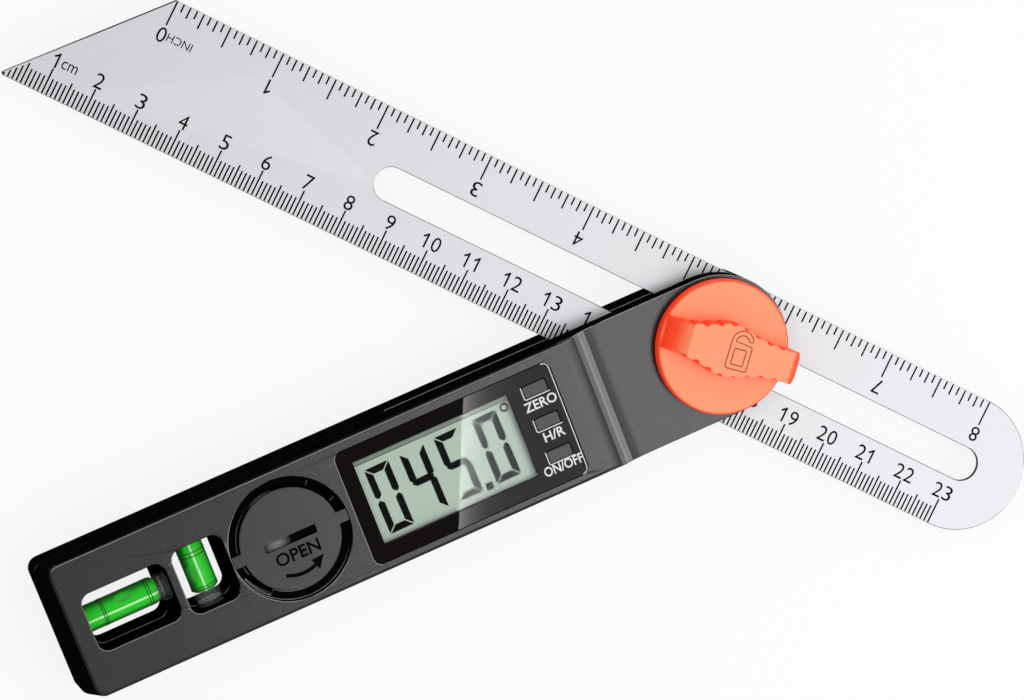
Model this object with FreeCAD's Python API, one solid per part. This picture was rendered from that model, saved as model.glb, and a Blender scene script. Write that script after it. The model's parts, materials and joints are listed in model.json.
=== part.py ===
"""Digital sliding bevel: a moulded stock with a display, and a slotted rule clamped in it.

The frame: origin on the clamping axis, on the back face of the stock. +X runs along the
stock towards its round end, +Y is across it, and +Z points out of the display.
All lengths are millimetres, and all angles are degrees.
"""
import FreeCAD
import Part
import math
import os

Vec = FreeCAD.Vector
Z_AXIS = Vec(0, 0, 1)

# Stock: outer form
stock_width = 31.0
stock_thickness = 15.0
end_corner_radius = 2.6
edge_bevel = 0.7
face_drop = 1.8                 # the face is lower round the clamping axis
drop_to_lens = 4.1              # from the lens to the step of the face
drop_length = 9.4
parting_z = 8.25                # height at which the two housing halves meet

# Stock: walls
side_wall = 1.8
front_wall = 1.5
back_wall = 1.6
least_corner_radius = 0.4       # of the inner corners at the square end
pillar_bite = 0.2               # how far a pillar reaches into the wall beside it
boss_foot = 1.1                 # how far bosses and tubes reach into the back wall
plate_ledge = 0.6               # how far a slot plate reaches into each side wall

# Rule
rule_thickness = 1.1
rule_width = 30.0
rule_length = 245.6
rule_bottom_z = 7.7
tip_slant_length = 27.2         # the pointed end is cut over this length
tip_blunt_radius = 0.5
rule_slot_width = 7.5
rule_slot_start = 82.6          # from the point
rule_slot_end = 234.8
rest_angle = 48.5               # between the rule and the stock, as set in the photo
rest_station = 167.0            # from the point to the clamping axis, as set in the photo

# Gap in the stock for the rule
slot_reach = 72.6               # from the clamping axis to the closed end
slot_play = 0.3                 # free height above and below the rule
slot_end_wall = 1.8
plate_thickness = 0.5
plate_play = 0.1                # between a plate and the rim of its seat
hub_plate_gap = 0.3

# Clamp
bolt_radius = 2.5
bolt_clearance = 0.08
bolt_head_flats = 8.0
bolt_head_height = 3.5
bolt_head_clearance = 0.15
bolt_head_depth_play = 0.1
bolt_head_bevel = 0.3
bolt_tip_bevel = 0.4
bolt_end_gap = 0.4              # below the top of the nut in the knob
hub_collar_radius = 5.4
hub_rotor_seat_radius = 4.4
hub_key_length = 9.0
key_clearance = 0.05
hub_face_play = 0.05
hub_washer_gap = 0.2
rear_boss_radius = 8.0
plate_rib_count = 3
rib_thickness = 1.2
washer_outer_radius = 11.0
washer_face_play = 0.04
thrust_washer_radius = 7.0
thrust_washer_thickness = 0.4

# Encoder
rotor_radius = 11.6
rotor_thickness = 0.5
rotor_ceiling_play = 0.2

# Lock knob
knob_radius = 14.7
knob_disc_thickness = 2.7
knob_height = 7.9
knob_edge_bevel = 0.4
knob_play = 0.05
knob_lever_angle = -38.6
grip_end_half_width = 3.6
grip_middle_half_width = 5.9
grip_reach = 16.3
grip_nose_bulge = 1.0
grip_swell_length = 6.0         # half the length of its full middle
grip_ramp_foot = 14.0
grip_ramp_top = 9.2
grip_ramp_crown = 0.86          # height of the ramp two thirds up, as a share of its rise
grip_nose_radius = 2.6
grip_lap = 0.6                  # how deep lever and disc run into each other
grip_lap_reach = 2.0
scallop_radius = 0.75
scallop_offset = 0.25           # from the lever's side out to a notch's centre
scallop_first = 4.2             # from the foot of the ramp to the first notch
scallop_pitch = 3.0
scallop_count = 8
insert_flats = 8.0
insert_height = 6.0
insert_thread_gap = 0.02

# Display
lens_to_axis = 36.9             # from the clamping axis to the lens
lens_length = 50.7
lens_upper_margin = 2.6         # between the lens and the sides of the stock
lens_lower_margin = 1.9
lens_corner_radius = 2.0
lens_thickness = 1.3
lens_sink = 0.2                 # below the face
lens_clearance = 0.1
lens_floor = 1.2
lcd_left_margin = 2.6           # between the display cell and the edges of the lens
lcd_upper_margin = 2.6
lcd_lower_margin = 3.1
lcd_length = 38.4
lcd_thickness = 1.3
lcd_play = 0.1
zebra_width = 2.2
zebra_end_gap = 1.0

# Circuit board
board_thickness = 0.8
board_bottom_z = 10.0
board_past_lens = 0.8
board_edge_gap = 0.5
board_hub_gap = 0.7
board_well_gap = 0.4
board_pillar_gap = 0.3
chip_side = 6.0
chip_height = 0.9

# Buttons
button_length = 5.4
button_width = 2.7
button_corner = 0.3
button_rim_bevel = 0.15
button_to_lens_end = 4.7        # from their middle line to the lens's right edge
button_to_lens_top = 4.65       # from the first one's middle to the lens's upper edge
button_pitch = 7.65
button_stand_out = 0.15
button_play = 0.15
button_flange = 0.5
button_flange_thickness = 0.7
button_flange_play = 0.1
dome_side = 2.8
dome_corner = 0.8
dome_height = 0.25

# Battery compartment
recess_to_lens = 1.55
battery_y = -0.2
recess_radius = 13.45
cover_radius = 11.2
cover_thickness = 1.6
cover_rim_bevel = 0.25
cover_seat_play = 0.05
cover_tab_width = 2.6
cover_tab_play = 0.15
cover_skirt_play = 0.25
cover_ledge = 1.0
lug_radius = 12.5
lug_thickness = 0.8
lug_play = 0.1
lug_half_angle = 13.0
lug_notch_play = 2.0            # degrees on each side of a lug
cover_turn = 35.0
coin_slot_length = 12.0
coin_slot_width = 1.9
coin_slot_depth = 1.0
cell_radius = 10.0
cell_thickness = 3.2
cell_step_height = 0.5
cell_step = 1.6
cell_clearance = 0.3
cell_cover_gap = 0.15
contact_thickness = 0.3
contact_half_width = 1.5
contact_play = 0.05
contact_cell_gap = 0.02
leaf_length = 13.0
leaf_width = 3.6
leaf_corner = 0.8
well_wall = 1.2

# Level windows and vials
window_long_length = 17.7
window_long_low = -6.1
window_long_high = 6.5
window_cross_length = 10.6
window_cross_low = -6.8
window_cross_high = 7.6
window_gap = 3.1
window_to_recess = 1.25
window_end_margin = 6.7         # from the square end to the first window
window_corner_radius = 2.4
window_wall = 1.6
vial_radius = 3.1
vial_bore_radius = 2.65
vial_seat_depth = 1.3
vial_clearance = 0.06
vial_plug_length = 1.6
bubble_radius = 1.15
bubble_length = 5.0
bubble_rise = 0.9               # from the bubble's axis to the wall of the bore

# Screws
screw_radius = 1.1
screw_head_radius = 2.0
screw_head_height = 1.2
screw_fit = 0.05
screw_passage = 0.15
screw_head_gap = 0.2
screw_pillar = 2.3              # half the side of the pillar round a housing screw
screw_sink = 0.4
screw_cross_length = 2.2
screw_cross_width = 0.4
screw_cross_depth = 0.7
screw_to_battery = 12.6
screw_roof = 0.6                # left above the hole of a housing screw
screw_tip_gap = 0.2
small_screw_radius = 0.6
small_head_radius = 1.3
small_head_height = 0.4
small_pillar = 1.5
small_screw_roof = 0.1
board_screw_from_lcd = 6.8      # along the stock, from the left edge of the display cell
board_screw_side_gap = 0.1      # between its pillar and the side wall
board_screw_past_drop = 4.2     # along the stock, from the start of the step

# Modelling
past = 1.0                      # how far a cutting solid runs past what it cuts
same_height = 1e-6              # two heights or places closer than this are the same
small_sides = 12                # flat sides of what is small, round and repeated or hidden

# Layout along the stock, from the clamping axis to the square end
half_width = stock_width / 2
lens_right_x = -lens_to_axis
lens_left_x = lens_right_x - lens_length
lens_low_y = -half_width + lens_lower_margin
lens_high_y = half_width - lens_upper_margin
lcd_left_x = lens_left_x + lcd_left_margin
lcd_right_x = lcd_left_x + lcd_length
lcd_low_y = lens_low_y + lcd_lower_margin
lcd_high_y = lens_high_y - lcd_upper_margin
button_x = lens_right_x - button_to_lens_end
drop_start_x = lens_right_x + drop_to_lens
drop_end_x = drop_start_x + drop_length
board_left_x = lens_left_x - board_past_lens
battery_x = lens_left_x - recess_to_lens - recess_radius
window_cross_right_x = battery_x - recess_radius - window_to_recess
window_cross_left_x = window_cross_right_x - window_cross_length
window_long_right_x = window_cross_left_x - window_gap
window_long_left_x = window_long_right_x - window_long_length
window_cross = (window_cross_left_x, window_cross_right_x, window_cross_low, window_cross_high)
window_long = (window_long_left_x, window_long_right_x, window_long_low, window_long_high)
stock_left_reach = -window_long_left_x + window_end_margin
end_screw_x = -stock_left_reach + side_wall + screw_pillar - pillar_bite
screw_side = half_width - side_wall - screw_pillar + pillar_bite
screw_spots = [(x, y) for x in (end_screw_x, battery_x + screw_to_battery) for y in (screw_side, -screw_side)]
board_screw_side = half_width - side_wall - small_pillar - board_screw_side_gap
board_screw_spots = [(lcd_left_x + board_screw_from_lcd, board_screw_side),
                     (lcd_left_x + board_screw_from_lcd, -board_screw_side),
                     (drop_start_x + board_screw_past_drop, 0)]

# Derived heights
rule_top_z = rule_bottom_z + rule_thickness
slot_low_z = rule_bottom_z - slot_play
slot_high_z = rule_top_z + slot_play
low_face_z = stock_thickness - face_drop
low_ceiling_z = low_face_z - front_wall
high_ceiling_z = stock_thickness - front_wall
front_plate_top_z = slot_high_z + plate_thickness
rear_plate_bottom_z = slot_low_z - plate_thickness
board_top_z = board_bottom_z + board_thickness
lens_top_z = stock_thickness - lens_sink
lens_bottom_z = lens_top_z - lens_thickness
lens_floor_bottom_z = lens_bottom_z - lens_floor
lcd_top_z = lens_bottom_z - lcd_play
lcd_bottom_z = lcd_top_z - lcd_thickness
plate_inset = side_wall - plate_ledge
knob_low_z = low_face_z + thrust_washer_thickness + knob_play
well_outer_radius = lug_radius + cover_skirt_play + well_wall
cell_well_radius = (cell_radius + cell_clearance + well_wall) / math.cos(math.pi / small_sides)


def cylinder(x, y, radius, low, high):
    """An upright round solid."""
    return Part.makeCylinder(radius, high - low, Vec(x, y, low), Z_AXIS)


def small_round(x, y, radius, low, high):
    """An upright solid with a few flat sides, for what is small, round and repeated or hidden."""
    corners = []
    for i in range(small_sides + 1):
        turn = 2 * math.pi * i / small_sides
        corners.append(Vec(x + radius * math.cos(turn), y + radius * math.sin(turn), 0))
    return prism(Part.makePolygon(corners), low, high)


def block(x0, x1, y0, y1, z0, z1):
    """A box between two corners."""
    return Part.makeBox(x1 - x0, y1 - y0, z1 - z0, Vec(x0, y0, z0))


def prism(wire, low, high):
    """A closed outline drawn at height zero, raised between two heights."""
    face = Part.Face(wire)
    face.translate(Vec(0, 0, low))
    return face.extrude(Vec(0, 0, high - low))


def round_block(x0, x1, y0, y1, z0, z1, radius):
    """A box with rounded upright corners."""
    box = block(x0, x1, y0, y1, z0, z1)
    upright = [edge for edge in box.Edges if abs(edge.tangentAt(edge.FirstParameter).z) > 0.99]
    return box.makeFillet(radius, upright)


def eight_sided_block(x, y, length, width, z0, z1, corner):
    """A box about a centre line, with its upright corners cut off."""
    box = block(x - length / 2, x + length / 2, y - width / 2, y + width / 2, z0, z1)
    upright = [edge for edge in box.Edges if abs(edge.tangentAt(edge.FirstParameter).z) > 0.99]
    return box.makeChamfer(corner, upright)


def pillar(x, y, half, low, high):
    """A square pillar round a screw, which runs into the side wall beside it."""
    outer = half_width - side_wall / 2
    if y > 0:
        return block(x - half, x + half, y - half, outer, low, high)
    if y < 0:
        return block(x - half, x + half, -outer, y + half, low, high)
    return block(x - half, x + half, -half, half, low, high)


def stadium(x0, x1, radius, z0, z1):
    """A bar along X with half round ends, on the middle line."""
    bar = block(x0 + radius, x1 - radius, -radius, radius, z0, z1)
    ends = [cylinder(x, 0, radius, z0, z1) for x in (x0 + radius, x1 - radius)]
    return bar.fuse(ends).removeSplitter()


def hexagon(flats, low, high, clearance=0.0):
    """A hexagonal solid on the clamping axis, measured across its flats."""
    radius = (flats / 2 + clearance) / math.cos(math.radians(30))
    corners = [Vec(radius * math.cos(math.radians(60 * i)), radius * math.sin(math.radians(60 * i)), 0)
               for i in range(7)]
    return prism(Part.makePolygon(corners), low, high)


def stock_outline(inset):
    """Plan of the stock: square at the left with small corners, a half circle at the right.

    The outer corners are rounded, and those of the walls inside are cut off straight.
    """
    reach = half_width - inset
    left = -stock_left_reach + inset
    corner = max(end_corner_radius - inset, least_corner_radius)
    slant = corner * math.sqrt(0.5)
    starts = [Vec(left + corner, -reach, 0), Vec(left, reach - corner, 0)]
    stops = [Vec(left, -reach + corner, 0), Vec(left + corner, reach, 0)]
    middles = [Vec(left + corner - slant, -reach + corner - slant, 0),
               Vec(left + corner - slant, reach - corner + slant, 0)]
    if inset == 0:
        corners = [Part.Arc(starts[i], middles[i], stops[i]).toShape() for i in range(2)]
    else:
        corners = [Part.makeLine(starts[i], stops[i]) for i in range(2)]
    edges = [
        Part.makeLine(Vec(0, -reach, 0), starts[0]),
        corners[0],
        Part.makeLine(stops[0], starts[1]),
        corners[1],
        Part.makeLine(stops[1], Vec(0, reach, 0)),
        Part.Arc(Vec(0, reach, 0), Vec(reach, 0, 0), Vec(0, -reach, 0)).toShape(),
    ]
    return Part.Wire(edges)


def stock_slice(inset, low, high, from_x=None, to_x=None):
    """A slab of the stock's plan, cut off at the given stations."""
    slab = prism(stock_outline(inset), low, high)
    start = -stock_left_reach - past if from_x is None else from_x
    stop = half_width + past if to_x is None else to_x
    return slab.common(block(start, stop, -half_width - past, half_width + past, low, high))


def bevelled(solid, height, size):
    """Bevel all outline edges that lie at one height."""
    edges = [edge for edge in solid.Edges
             if abs(edge.BoundBox.ZMin - height) < same_height
             and abs(edge.BoundBox.ZMax - height) < same_height]
    return solid.makeChamfer(size, edges)


def dropped_face_cutter():
    """What is taken off the face round the clamping axis, with a soft step made of two arcs."""
    middle_x = (drop_start_x + drop_end_x) / 2
    middle_z = (stock_thickness + low_face_z) / 2
    radius = (drop_length ** 2 + face_drop ** 2) / (4 * face_drop)
    quarter = drop_length / 4
    sag = radius - math.sqrt(radius ** 2 - quarter ** 2)
    above = stock_thickness + past
    right = half_width + past
    start = Vec(drop_start_x, 0, stock_thickness)
    middle = Vec(middle_x, 0, middle_z)
    end = Vec(drop_end_x, 0, low_face_z)
    edges = [
        Part.Arc(start, Vec(drop_start_x + quarter, 0, stock_thickness - sag), middle).toShape(),
        Part.Arc(middle, Vec(drop_end_x - quarter, 0, low_face_z + sag), end).toShape(),
        Part.makeLine(end, Vec(right, 0, low_face_z)),
        Part.makeLine(Vec(right, 0, low_face_z), Vec(right, 0, above)),
        Part.makeLine(Vec(right, 0, above), Vec(drop_start_x, 0, above)),
        Part.makeLine(Vec(drop_start_x, 0, above), start),
    ]
    face = Part.Face(Part.Wire(edges))
    face.translate(Vec(0, -half_width - past, 0))
    return face.extrude(Vec(0, stock_width + 2 * past, 0))


def window_tube(window, low, high):
    """The walls round a level window, inside one half of the housing."""
    x0, x1, y0, y1 = window
    return block(x0 - window_wall, x1 + window_wall, y0 - window_wall, y1 + window_wall, low, high)


def window_hole(window):
    """The through opening of a level window."""
    x0, x1, y0, y1 = window
    return round_block(x0, x1, y0, y1, -past, stock_thickness + past, window_corner_radius)


def vial_axis(window, lengthwise):
    """Start point, direction and length of the vial that lies in a window."""
    x0, x1, y0, y1 = window
    seats = 2 * vial_seat_depth
    if lengthwise:
        return Vec(x0 - vial_seat_depth, (y0 + y1) / 2, parting_z), Vec(1, 0, 0), x1 - x0 + seats
    return Vec((x0 + x1) / 2, y0 - vial_seat_depth, parting_z), Vec(0, 1, 0), y1 - y0 + seats


def vial_seats():
    """Round pockets for the ends of both vials."""
    seats = []
    for window, lengthwise in ((window_long, True), (window_cross, False)):
        start, direction, length = vial_axis(window, lengthwise)
        begin = start - direction * vial_clearance
        seat_length = length + 2 * vial_clearance
        seats.append(Part.makeCylinder(vial_radius + vial_clearance, seat_length, begin, direction))
    return seats


def cover_lugs(radius, low, high, turned, half_angle):
    """Two opposite sectors of a disc on the battery axis."""
    centre = Vec(battery_x, battery_y, low)
    sectors = []
    for side in (0, 180):
        sector = Part.makeCylinder(radius, high - low, centre, Z_AXIS, 2 * half_angle)
        sector.rotate(centre, Z_AXIS, side + turned - half_angle)
        sectors.append(sector)
    return sectors[0].fuse(sectors[1])


def battery_heights():
    """Heights in the battery compartment, from the cover down to the floor."""
    ledge_top = stock_thickness - cover_thickness
    ledge_bottom = ledge_top - cover_ledge
    lug_top = ledge_bottom - lug_play
    lug_bottom = lug_top - lug_thickness
    cell_top = lug_bottom - cell_cover_gap
    cell_bottom = cell_top - cell_thickness
    floor_top = cell_bottom - contact_thickness
    return ledge_top, ledge_bottom, lug_top, lug_bottom, cell_top, cell_bottom, floor_top


def button_stations():
    """Centre lines of the three buttons, from the top one down."""
    return [lens_high_y - button_to_lens_top - i * button_pitch for i in range(3)]


def front_housing():
    """The half with the face: windows, battery well, display seat and clamp face."""
    ledge_top, ledge_bottom, lug_top, lug_bottom, cell_top, cell_bottom, floor_top = battery_heights()
    shell = bevelled(prism(stock_outline(0), parting_z, stock_thickness), stock_thickness, edge_bevel)
    shell = shell.cut(dropped_face_cutter())
    shell = shell.cut(block(-slot_reach, half_width + past, -half_width - past, half_width + past,
                            parting_z - past, slot_high_z))

    cavity_left = stock_slice(side_wall, parting_z - past, lens_floor_bottom_z,
                              to_x=-slot_reach - slot_end_wall)
    cavity_upper = stock_slice(side_wall, board_bottom_z - small_head_height, lens_floor_bottom_z,
                               to_x=lens_right_x + past)
    cavity_arm = stock_slice(side_wall, front_plate_top_z, low_ceiling_z, from_x=-slot_reach)
    plate_seat = stock_slice(plate_inset, slot_high_z - past, front_plate_top_z, from_x=-slot_reach)
    shell = shell.cut(cavity_left.fuse([cavity_upper, cavity_arm, plate_seat]))

    adds = [window_tube(window, parting_z, high_ceiling_z) for window in (window_long, window_cross)]
    adds.append(cylinder(battery_x, battery_y, well_outer_radius, parting_z, high_ceiling_z))
    adds.append(small_round(battery_x, battery_y, cell_well_radius, floor_top - well_wall, parting_z))
    adds += [pillar(x, y, screw_pillar, parting_z, high_ceiling_z) for x, y in screw_spots]
    for x, y in board_screw_spots:
        ceiling = low_ceiling_z if x > lens_right_x else lens_bottom_z
        adds.append(pillar(x, y, small_pillar, board_top_z, ceiling))
    inside = prism(stock_outline(side_wall / 2), floor_top - well_wall, stock_thickness)
    shell = shell.fuse([piece.common(inside) for piece in adds])

    cuts = [window_hole(window_long), window_hole(window_cross)]
    cuts += vial_seats()
    cuts.append(cylinder(battery_x, battery_y, recess_radius, ledge_top, stock_thickness + past))
    cuts.append(cylinder(battery_x, battery_y, cover_radius + cover_skirt_play, ledge_bottom, ledge_top))
    cuts.append(cylinder(battery_x, battery_y, lug_radius + cover_skirt_play,
                         lug_bottom - lug_play, ledge_bottom))
    cuts.append(cylinder(battery_x, battery_y, cell_radius + cell_clearance, floor_top, lug_bottom))
    cuts.append(positive_contact(floor_top, lug_bottom, contact_play))
    cuts.append(cover_lugs(lug_radius + cover_skirt_play, ledge_bottom, ledge_top, cover_turn,
                           lug_half_angle + lug_notch_play))
    cuts.append(round_block(lens_left_x, lens_right_x, lens_low_y, lens_high_y,
                            lens_bottom_z, stock_thickness + past, lens_corner_radius))
    cuts.append(block(lcd_left_x - lcd_play, lcd_right_x + lcd_play, lcd_low_y - lcd_play,
                      lcd_high_y + lcd_play, lens_floor_bottom_z - past, lens_bottom_z))
    cuts += [button_opening(y, lens_floor_bottom_z - past, lens_bottom_z) for y in button_stations()]
    cuts.append(cylinder(0, 0, bolt_radius + bolt_clearance, low_ceiling_z - past, low_face_z + past))
    for x, y in screw_spots:
        cuts.append(small_round(x, y, screw_radius + screw_fit, parting_z - past,
                                high_ceiling_z - screw_roof))
    for x, y in board_screw_spots:
        cuts.append(small_round(x, y, small_screw_radius + screw_fit, board_top_z - past,
                                low_ceiling_z - small_screw_roof))
    return shell.cut(cuts[0].fuse(cuts[1:]))


def rear_housing():
    """The half with the back face: clamp boss, screw pillars and the other side of the gap."""
    shell = bevelled(prism(stock_outline(0), 0, parting_z), 0, edge_bevel)
    shell = shell.cut(block(-slot_reach, half_width + past, -half_width - past, half_width + past,
                            slot_low_z, parting_z + past))
    cavity_left = stock_slice(side_wall, back_wall, parting_z + past, to_x=-slot_reach - slot_end_wall)
    cavity_arm = stock_slice(side_wall, back_wall, rear_plate_bottom_z, from_x=-slot_reach)
    plate_seat = stock_slice(plate_inset, rear_plate_bottom_z, slot_low_z + past, from_x=-slot_reach)
    shell = shell.cut(cavity_left.fuse([cavity_arm, plate_seat]))

    foot_z = back_wall - boss_foot
    adds = [window_tube(window, foot_z, parting_z) for window in (window_long, window_cross)]
    adds.append(small_round(0, 0, rear_boss_radius, foot_z, rear_plate_bottom_z))
    adds += [pillar(x, y, screw_pillar, foot_z, parting_z) for x, y in screw_spots]
    adds += plate_ribs(foot_z)
    inside = prism(stock_outline(side_wall / 2), 0, parting_z)
    shell = shell.fuse([piece.common(inside) for piece in adds])

    cuts = [window_hole(window_long), window_hole(window_cross)]
    cuts += vial_seats()
    cuts.append(hexagon(bolt_head_flats, -past, bolt_head_height + bolt_head_depth_play, bolt_head_clearance))
    cuts.append(cylinder(0, 0, bolt_radius + bolt_clearance, 0, slot_low_z))
    for x, y in screw_spots:
        cuts.append(small_round(x, y, screw_radius + screw_passage, 0, parting_z + past))
        cuts.append(small_round(x, y, screw_head_radius + screw_head_gap, -past,
                                screw_sink + screw_head_height))
    return shell.cut(cuts[0].fuse(cuts[1:]))


def plate_ribs(foot_z):
    """Ribs across the back half, which carry the rear slot plate."""
    reach = half_width - side_wall / 2
    ribs = []
    for i in range(plate_rib_count):
        x = -slot_reach + (i + 1) * (slot_reach - rear_boss_radius) / (plate_rib_count + 1)
        ribs.append(block(x - rib_thickness / 2, x + rib_thickness / 2, -reach, reach,
                          foot_z, rear_plate_bottom_z))
    return ribs


def button_opening(y, low, high):
    """The guide hole of one button."""
    return eight_sided_block(button_x, y, button_length + 2 * button_play, button_width + 2 * button_play,
                             low, high, button_corner)


def display_lens():
    """The clear window over display and buttons."""
    gap = lens_clearance
    lens = round_block(lens_left_x + gap, lens_right_x - gap, lens_low_y + gap, lens_high_y - gap,
                       lens_bottom_z, lens_top_z, lens_corner_radius - gap)
    for y in button_stations():
        lens = lens.cut(button_opening(y, lens_bottom_z - past, lens_top_z + past))
    return lens


def lcd_panel():
    """The liquid crystal cell: two glass sheets, the lower one wider at the contact side."""
    step = lcd_thickness / 2
    lower = block(lcd_left_x, lcd_right_x, lcd_low_y, lcd_high_y, lcd_bottom_z, lcd_bottom_z + step)
    upper = block(lcd_left_x, lcd_right_x, lcd_low_y, lcd_high_y - zebra_width,
                  lcd_bottom_z + step, lcd_top_z)
    return lower.fuse(upper).removeSplitter()


def zebra_strip():
    """The soft strip that joins the board to the contacts along the upper side of the display."""
    return block(lcd_left_x + zebra_end_gap, lcd_right_x - zebra_end_gap,
                 lcd_high_y - zebra_width, lcd_high_y, board_top_z, lcd_bottom_z)


def circuit_board():
    """One board under the display, which ends in the encoder's ring round the hub."""
    below = board_bottom_z - past
    above = board_top_z + past
    board = stock_slice(side_wall + board_edge_gap, board_bottom_z, board_top_z, from_x=board_left_x)
    cuts = [cylinder(0, 0, hub_collar_radius + board_hub_gap, below, above),
            cylinder(battery_x, battery_y, well_outer_radius + board_well_gap, below, above)]
    cuts += [pillar(x, y, screw_pillar + board_pillar_gap, below, above) for x, y in screw_spots]
    cuts += [small_round(x, y, small_screw_radius + screw_passage, below, above)
             for x, y in board_screw_spots]
    return board.cut(cuts)


def controller_chip():
    """The processor on the board, under the display."""
    x = (lcd_left_x + lcd_right_x) / 2
    y = (lcd_low_y + lcd_high_y - zebra_width) / 2
    half = chip_side / 2
    return block(x - half, x + half, y - half, y + half, board_top_z, board_top_z + chip_height)


def dome_switches():
    """Three sprung domes on the board, one under each button."""
    dome_top = board_top_z + dome_height
    domes = [eight_sided_block(button_x, y, dome_side, dome_side, board_top_z, dome_top, dome_corner)
             for y in button_stations()]
    return Part.makeCompound(domes)


def button_cap(y):
    """One key: a bar through the lens with a flange that keeps it in."""
    flange_top = lens_floor_bottom_z - button_flange_play
    flange_bottom = flange_top - button_flange_thickness
    top = lens_top_z + button_stand_out
    bar = eight_sided_block(button_x, y, button_length, button_width, flange_bottom, top, button_corner)
    bar = bevelled(bar, top, button_rim_bevel)
    half_x = button_length / 2 + button_flange
    half_y = button_width / 2 + button_flange
    flange = block(button_x - half_x, button_x + half_x, y - half_y, y + half_y, flange_bottom, flange_top)
    return bar.fuse(flange).removeSplitter()


def slot_plate(low, hole_radius):
    """A steel plate that lines one side of the gap for the rule, bonded in its seat."""
    plate = stock_slice(plate_inset + plate_play, low, low + plate_thickness, from_x=-slot_reach + plate_play)
    return plate.cut(cylinder(0, 0, hole_radius, low - past, low + plate_thickness + past))


def front_slot_plate():
    """The liner under the board, with a round hole for the turning hub."""
    return slot_plate(slot_high_z, hub_collar_radius + hub_plate_gap)


def rear_slot_plate():
    """The liner on the other side, with a hole for the bolt."""
    return slot_plate(rear_plate_bottom_z, bolt_radius + bolt_clearance)


def board_screws():
    """Three flat-headed screws that hold the board to the face."""
    screws = []
    for x, y in board_screw_spots:
        head = small_round(x, y, small_head_radius, board_bottom_z - small_head_height, board_bottom_z)
        shank = small_round(x, y, small_screw_radius, board_bottom_z, low_ceiling_z - screw_tip_gap)
        screws.append(head.fuse(shank).removeSplitter())
    return Part.makeCompound(screws)


def housing_screws():
    """Four screws from the back, with sunk heads and a cross recess."""
    screws = []
    half_length = screw_cross_length / 2
    half_bar = screw_cross_width / 2
    tip_z = high_ceiling_z - screw_roof - screw_tip_gap
    for x, y in screw_spots:
        head = small_round(x, y, screw_head_radius, screw_sink, screw_sink + screw_head_height)
        screw = head.fuse(small_round(x, y, screw_radius, screw_sink, tip_z)).removeSplitter()
        for turn in (45, 135):
            bar = block(x - half_length, x + half_length, y - half_bar, y + half_bar,
                        screw_sink - past, screw_sink + screw_cross_depth)
            bar.rotate(Vec(x, y, 0), Z_AXIS, turn)
            screw = screw.cut(bar)
        screws.append(screw)
    return Part.makeCompound(screws)


def clamp_bolt():
    """The bolt through stock, hub and rule, held from turning by its hexagonal head."""
    head = hexagon(bolt_head_flats, 0, bolt_head_height)
    head = bevelled(head, 0, bolt_head_bevel)
    top = knob_low_z + insert_height - bolt_end_gap
    shank = cylinder(0, 0, bolt_radius, bolt_head_height / 2, top)
    return head.fuse(bevelled(shank, top, bolt_tip_bevel)).removeSplitter()


def turn_hub():
    """The hub that turns with the rule: a key in the rule's slot, a collar and the rotor's seat."""
    key_half = rule_slot_width / 2 - key_clearance
    collar_bottom = rule_top_z + hub_face_play
    key = stadium(-hub_key_length / 2, hub_key_length / 2, key_half,
                  rule_bottom_z + hub_face_play, collar_bottom)
    key.rotate(Vec(0, 0, 0), Z_AXIS, -rest_angle)
    rotor_bottom = low_ceiling_z - rotor_ceiling_play - rotor_thickness
    collar = cylinder(0, 0, hub_collar_radius, collar_bottom, rotor_bottom)
    seat = cylinder(0, 0, hub_rotor_seat_radius, rotor_bottom, low_ceiling_z - hub_face_play)
    hub = key.fuse([collar, seat]).removeSplitter()
    return hub.cut(cylinder(0, 0, bolt_radius + bolt_clearance, 0, stock_thickness))


def encoder_rotor():
    """The patterned disc that the board reads, pressed on the hub."""
    top = low_ceiling_z - rotor_ceiling_play
    disc = cylinder(0, 0, rotor_radius, top - rotor_thickness, top)
    return disc.cut(cylinder(0, 0, hub_rotor_seat_radius, top - rotor_thickness - past, top + past))


def washer(inner, outer, low, high):
    """A flat ring on the clamping axis."""
    return cylinder(0, 0, outer, low, high).cut(cylinder(0, 0, inner, low - past, high + past))


def upper_friction_washer():
    """A plain washer between the front plate and the rule, round the hub."""
    return washer(hub_collar_radius + hub_washer_gap, washer_outer_radius,
                  rule_top_z + washer_face_play, slot_high_z - washer_face_play)


def lower_friction_washer():
    """A plain washer between the rule and the rear plate."""
    return washer(bolt_radius + bolt_clearance, washer_outer_radius,
                  slot_low_z + washer_face_play, rule_bottom_z - washer_face_play)


def thrust_washer():
    """A steel washer between the lock knob and the face."""
    return washer(bolt_radius + bolt_clearance, thrust_washer_radius,
                  low_face_z, low_face_z + thrust_washer_thickness)


def rule():
    """The steel rule: pointed at one end, round at the other, with one long slot."""
    end_centre = rule_length - rule_width / 2
    straight = [Vec(end_centre, 0, 0), Vec(0, 0, 0), Vec(tip_slant_length, rule_width, 0),
                Vec(end_centre, rule_width, 0)]
    edges = [Part.makeLine(straight[i], straight[i + 1]) for i in range(3)]
    edges.append(Part.Arc(straight[3], Vec(rule_length, rule_width / 2, 0), straight[0]).toShape())
    body = prism(Part.Wire(edges), rule_bottom_z, rule_top_z)
    point = [edge for edge in body.Edges
             if edge.BoundBox.XMax < same_height and edge.BoundBox.ZLength > rule_thickness / 2]
    body = body.makeFillet(tip_blunt_radius, point)
    slot = stadium(rule_slot_start, rule_slot_end, rule_slot_width / 2,
                   rule_bottom_z - past, rule_top_z + past)
    slot.translate(Vec(0, rule_width / 2, 0))
    body = body.cut(slot)
    body.translate(Vec(-rest_station, -rule_width / 2, 0))
    body.rotate(Vec(0, 0, 0), Z_AXIS, -rest_angle)
    return body


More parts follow.
